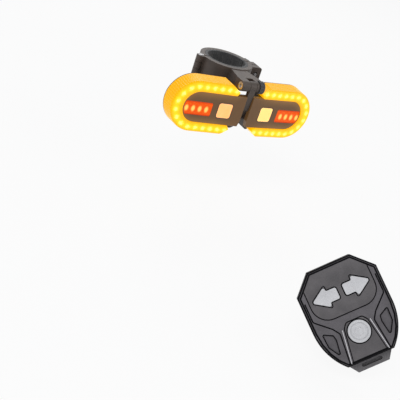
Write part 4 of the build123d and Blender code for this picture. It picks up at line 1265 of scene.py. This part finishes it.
@dataclass
class Studio:
    """The camera, the lamps of the studio and the pale floor."""

    eye: tuple = (-283.73, -418.22, 148.72)
    right: tuple = (0.85194, -0.43526, 0.29112)
    up: tuple = (-0.01751, 0.53196, 0.84659)
    back: tuple = (-0.52335, -0.72634, 0.44557)
    lens: float = 67.32
    floor: float = -0.0785
    floor_half: float = 3.0

    def camera(self) -> None:
        """Set the camera where the picture was taken from."""
        data = bpy.data.cameras.new("camera")
        data.sensor_width = 36.0
        data.lens = self.lens
        data.clip_start = 0.01
        data.clip_end = 20.0
        place = Matrix((self.right, self.up, self.back)).transposed().to_4x4()
        place.translation = Vector(self.eye) * MM
        camera = bpy.data.objects.new("camera", data)
        camera.matrix_world = place
        bpy.context.scene.collection.objects.link(camera)
        bpy.context.scene.camera = camera

    def white_ray(self, tree: bpy.types.NodeTree) -> Socket:
        """One for rays that show the background: seen, mirrored or through glass."""
        path = tree.nodes.new("ShaderNodeLightPath")
        result = path.outputs["Is Camera Ray"]
        for name in ("Is Glossy Ray", "Is Transmission Ray"):
            most = tree.nodes.new("ShaderNodeMath")
            most.operation = "MAXIMUM"
            tree.links.new(result, most.inputs[0])
            tree.links.new(path.outputs[name], most.inputs[1])
            result = most.outputs[0]
        return result

    def ground(self) -> None:
        """A wide pale floor that keeps a faint shadow."""
        bare()
        bpy.ops.mesh.primitive_plane_add(size=2 * self.floor_half, location=(0, 0, self.floor))
        obj = bpy.context.object
        bpy.ops.object.transform_apply(location=True, rotation=True, scale=True)
        obj.name = "studio_floor"
        sheet = Sheet("studio_floor")
        paper = sheet.noise(sheet.millimetres(), 40.0, 2.0)
        colour = sheet.blend(paper, (0.86, 0.86, 0.86), (0.9, 0.9, 0.9))
        matt = sheet.add("BsdfDiffuse", {"Color": colour}).outputs[0]
        glow = sheet.add("Emission", {"Color": (1.0, 1.0, 1.0), "Strength": 1.0}).outputs[0]
        share = sheet.times(self.white_ray(sheet.tree), 0.88)
        mixed = sheet.add("MixShader", {0: share, 1: matt, 2: glow}).outputs[0]
        sheet.tree.links.new(mixed, sheet.output.inputs["Surface"])
        obj.data.materials.append(sheet.material)

    def sky(self) -> None:
        """A plain pale surround that shows as white."""
        world = bpy.data.worlds.new("surround")
        bpy.context.scene.world = world
        world.use_nodes = True
        tree = world.node_tree
        tree.nodes.clear()
        dim = tree.nodes.new("ShaderNodeBackground")
        dim.inputs[0].default_value = (0.9, 0.92, 0.95, 1)
        dim.inputs[1].default_value = 0.5
        white = tree.nodes.new("ShaderNodeBackground")
        white.inputs[0].default_value = (1, 1, 1, 1)
        white.inputs[1].default_value = 1.0
        mix = tree.nodes.new("ShaderNodeMixShader")
        out = tree.nodes.new("ShaderNodeOutputWorld")
        tree.links.new(self.white_ray(tree), mix.inputs[0])
        tree.links.new(dim.outputs[0], mix.inputs[1])
        tree.links.new(white.outputs[0], mix.inputs[2])
        tree.links.new(mix.outputs[0], out.inputs[0])

    def lamp(self, name: str, place: tuple, aim: tuple, size: float, power: float) -> None:
        """A square soft lamp at a place, pointed at another."""
        data = bpy.data.lights.new(name, "AREA")
        data.shape = "SQUARE"
        data.size = size
        data.energy = power
        obj = bpy.data.objects.new(name, data)
        obj.location = place
        obj.rotation_euler = (Vector(aim) - Vector(place)).to_track_quat("-Z", "Y").to_euler()
        bpy.context.scene.collection.objects.link(obj)

    def build(self) -> None:
        """Set up the whole studio."""
        self.camera()
        self.ground()
        self.sky()
        middle = (0.0, -0.11, -0.03)
        self.lamp("key_lamp", (-0.75, -0.55, 0.85), middle, 0.6, 5.0)
        self.lamp("fill_lamp", (0.8, -0.7, 0.45), middle, 0.8, 2.2)
        self.lamp("rim_lamp", (0.3, 0.8, 0.7), middle, 0.5, 2.2)
        bpy.context.scene.view_settings.view_transform = "Standard"


def main() -> None:
    """Load the frame, build each sub-assembly in order and note the sizes."""
    logging.basicConfig(level=logging.INFO, format="%(name)s %(message)s")
    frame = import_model()
    nodes = frame["nodes"]
    Studio().build()
    shared = Finishes()
    amber = Phosphor("amber_glow", (1.0, 0.86, 0.3), (1.0, 0.66, 0.08), 5.0).material()
    red = Phosphor("red_lamp_glow", (1.0, 0.74, 0.36), (1.0, 0.5, 0.14), 2.6).material()
    for side in Side:
        Pod(side, nodes, shared).build(amber, red)
    inside = LampInside(nodes, shared)
    inside.dress()
    inside.board_parts()
    inside.button_mark()
    mount = Mount(nodes, shared)
    mount.dress()
    mount.grip_cap()
    mount.pin_caps()
    remote = Remote(nodes, shared)
    remote.dress()
    remote.key_gap_shadows()
    remote.lines()
    remote.trims()
    remote.key_mark()
    bare()


if __name__ == "__main__":
    main()
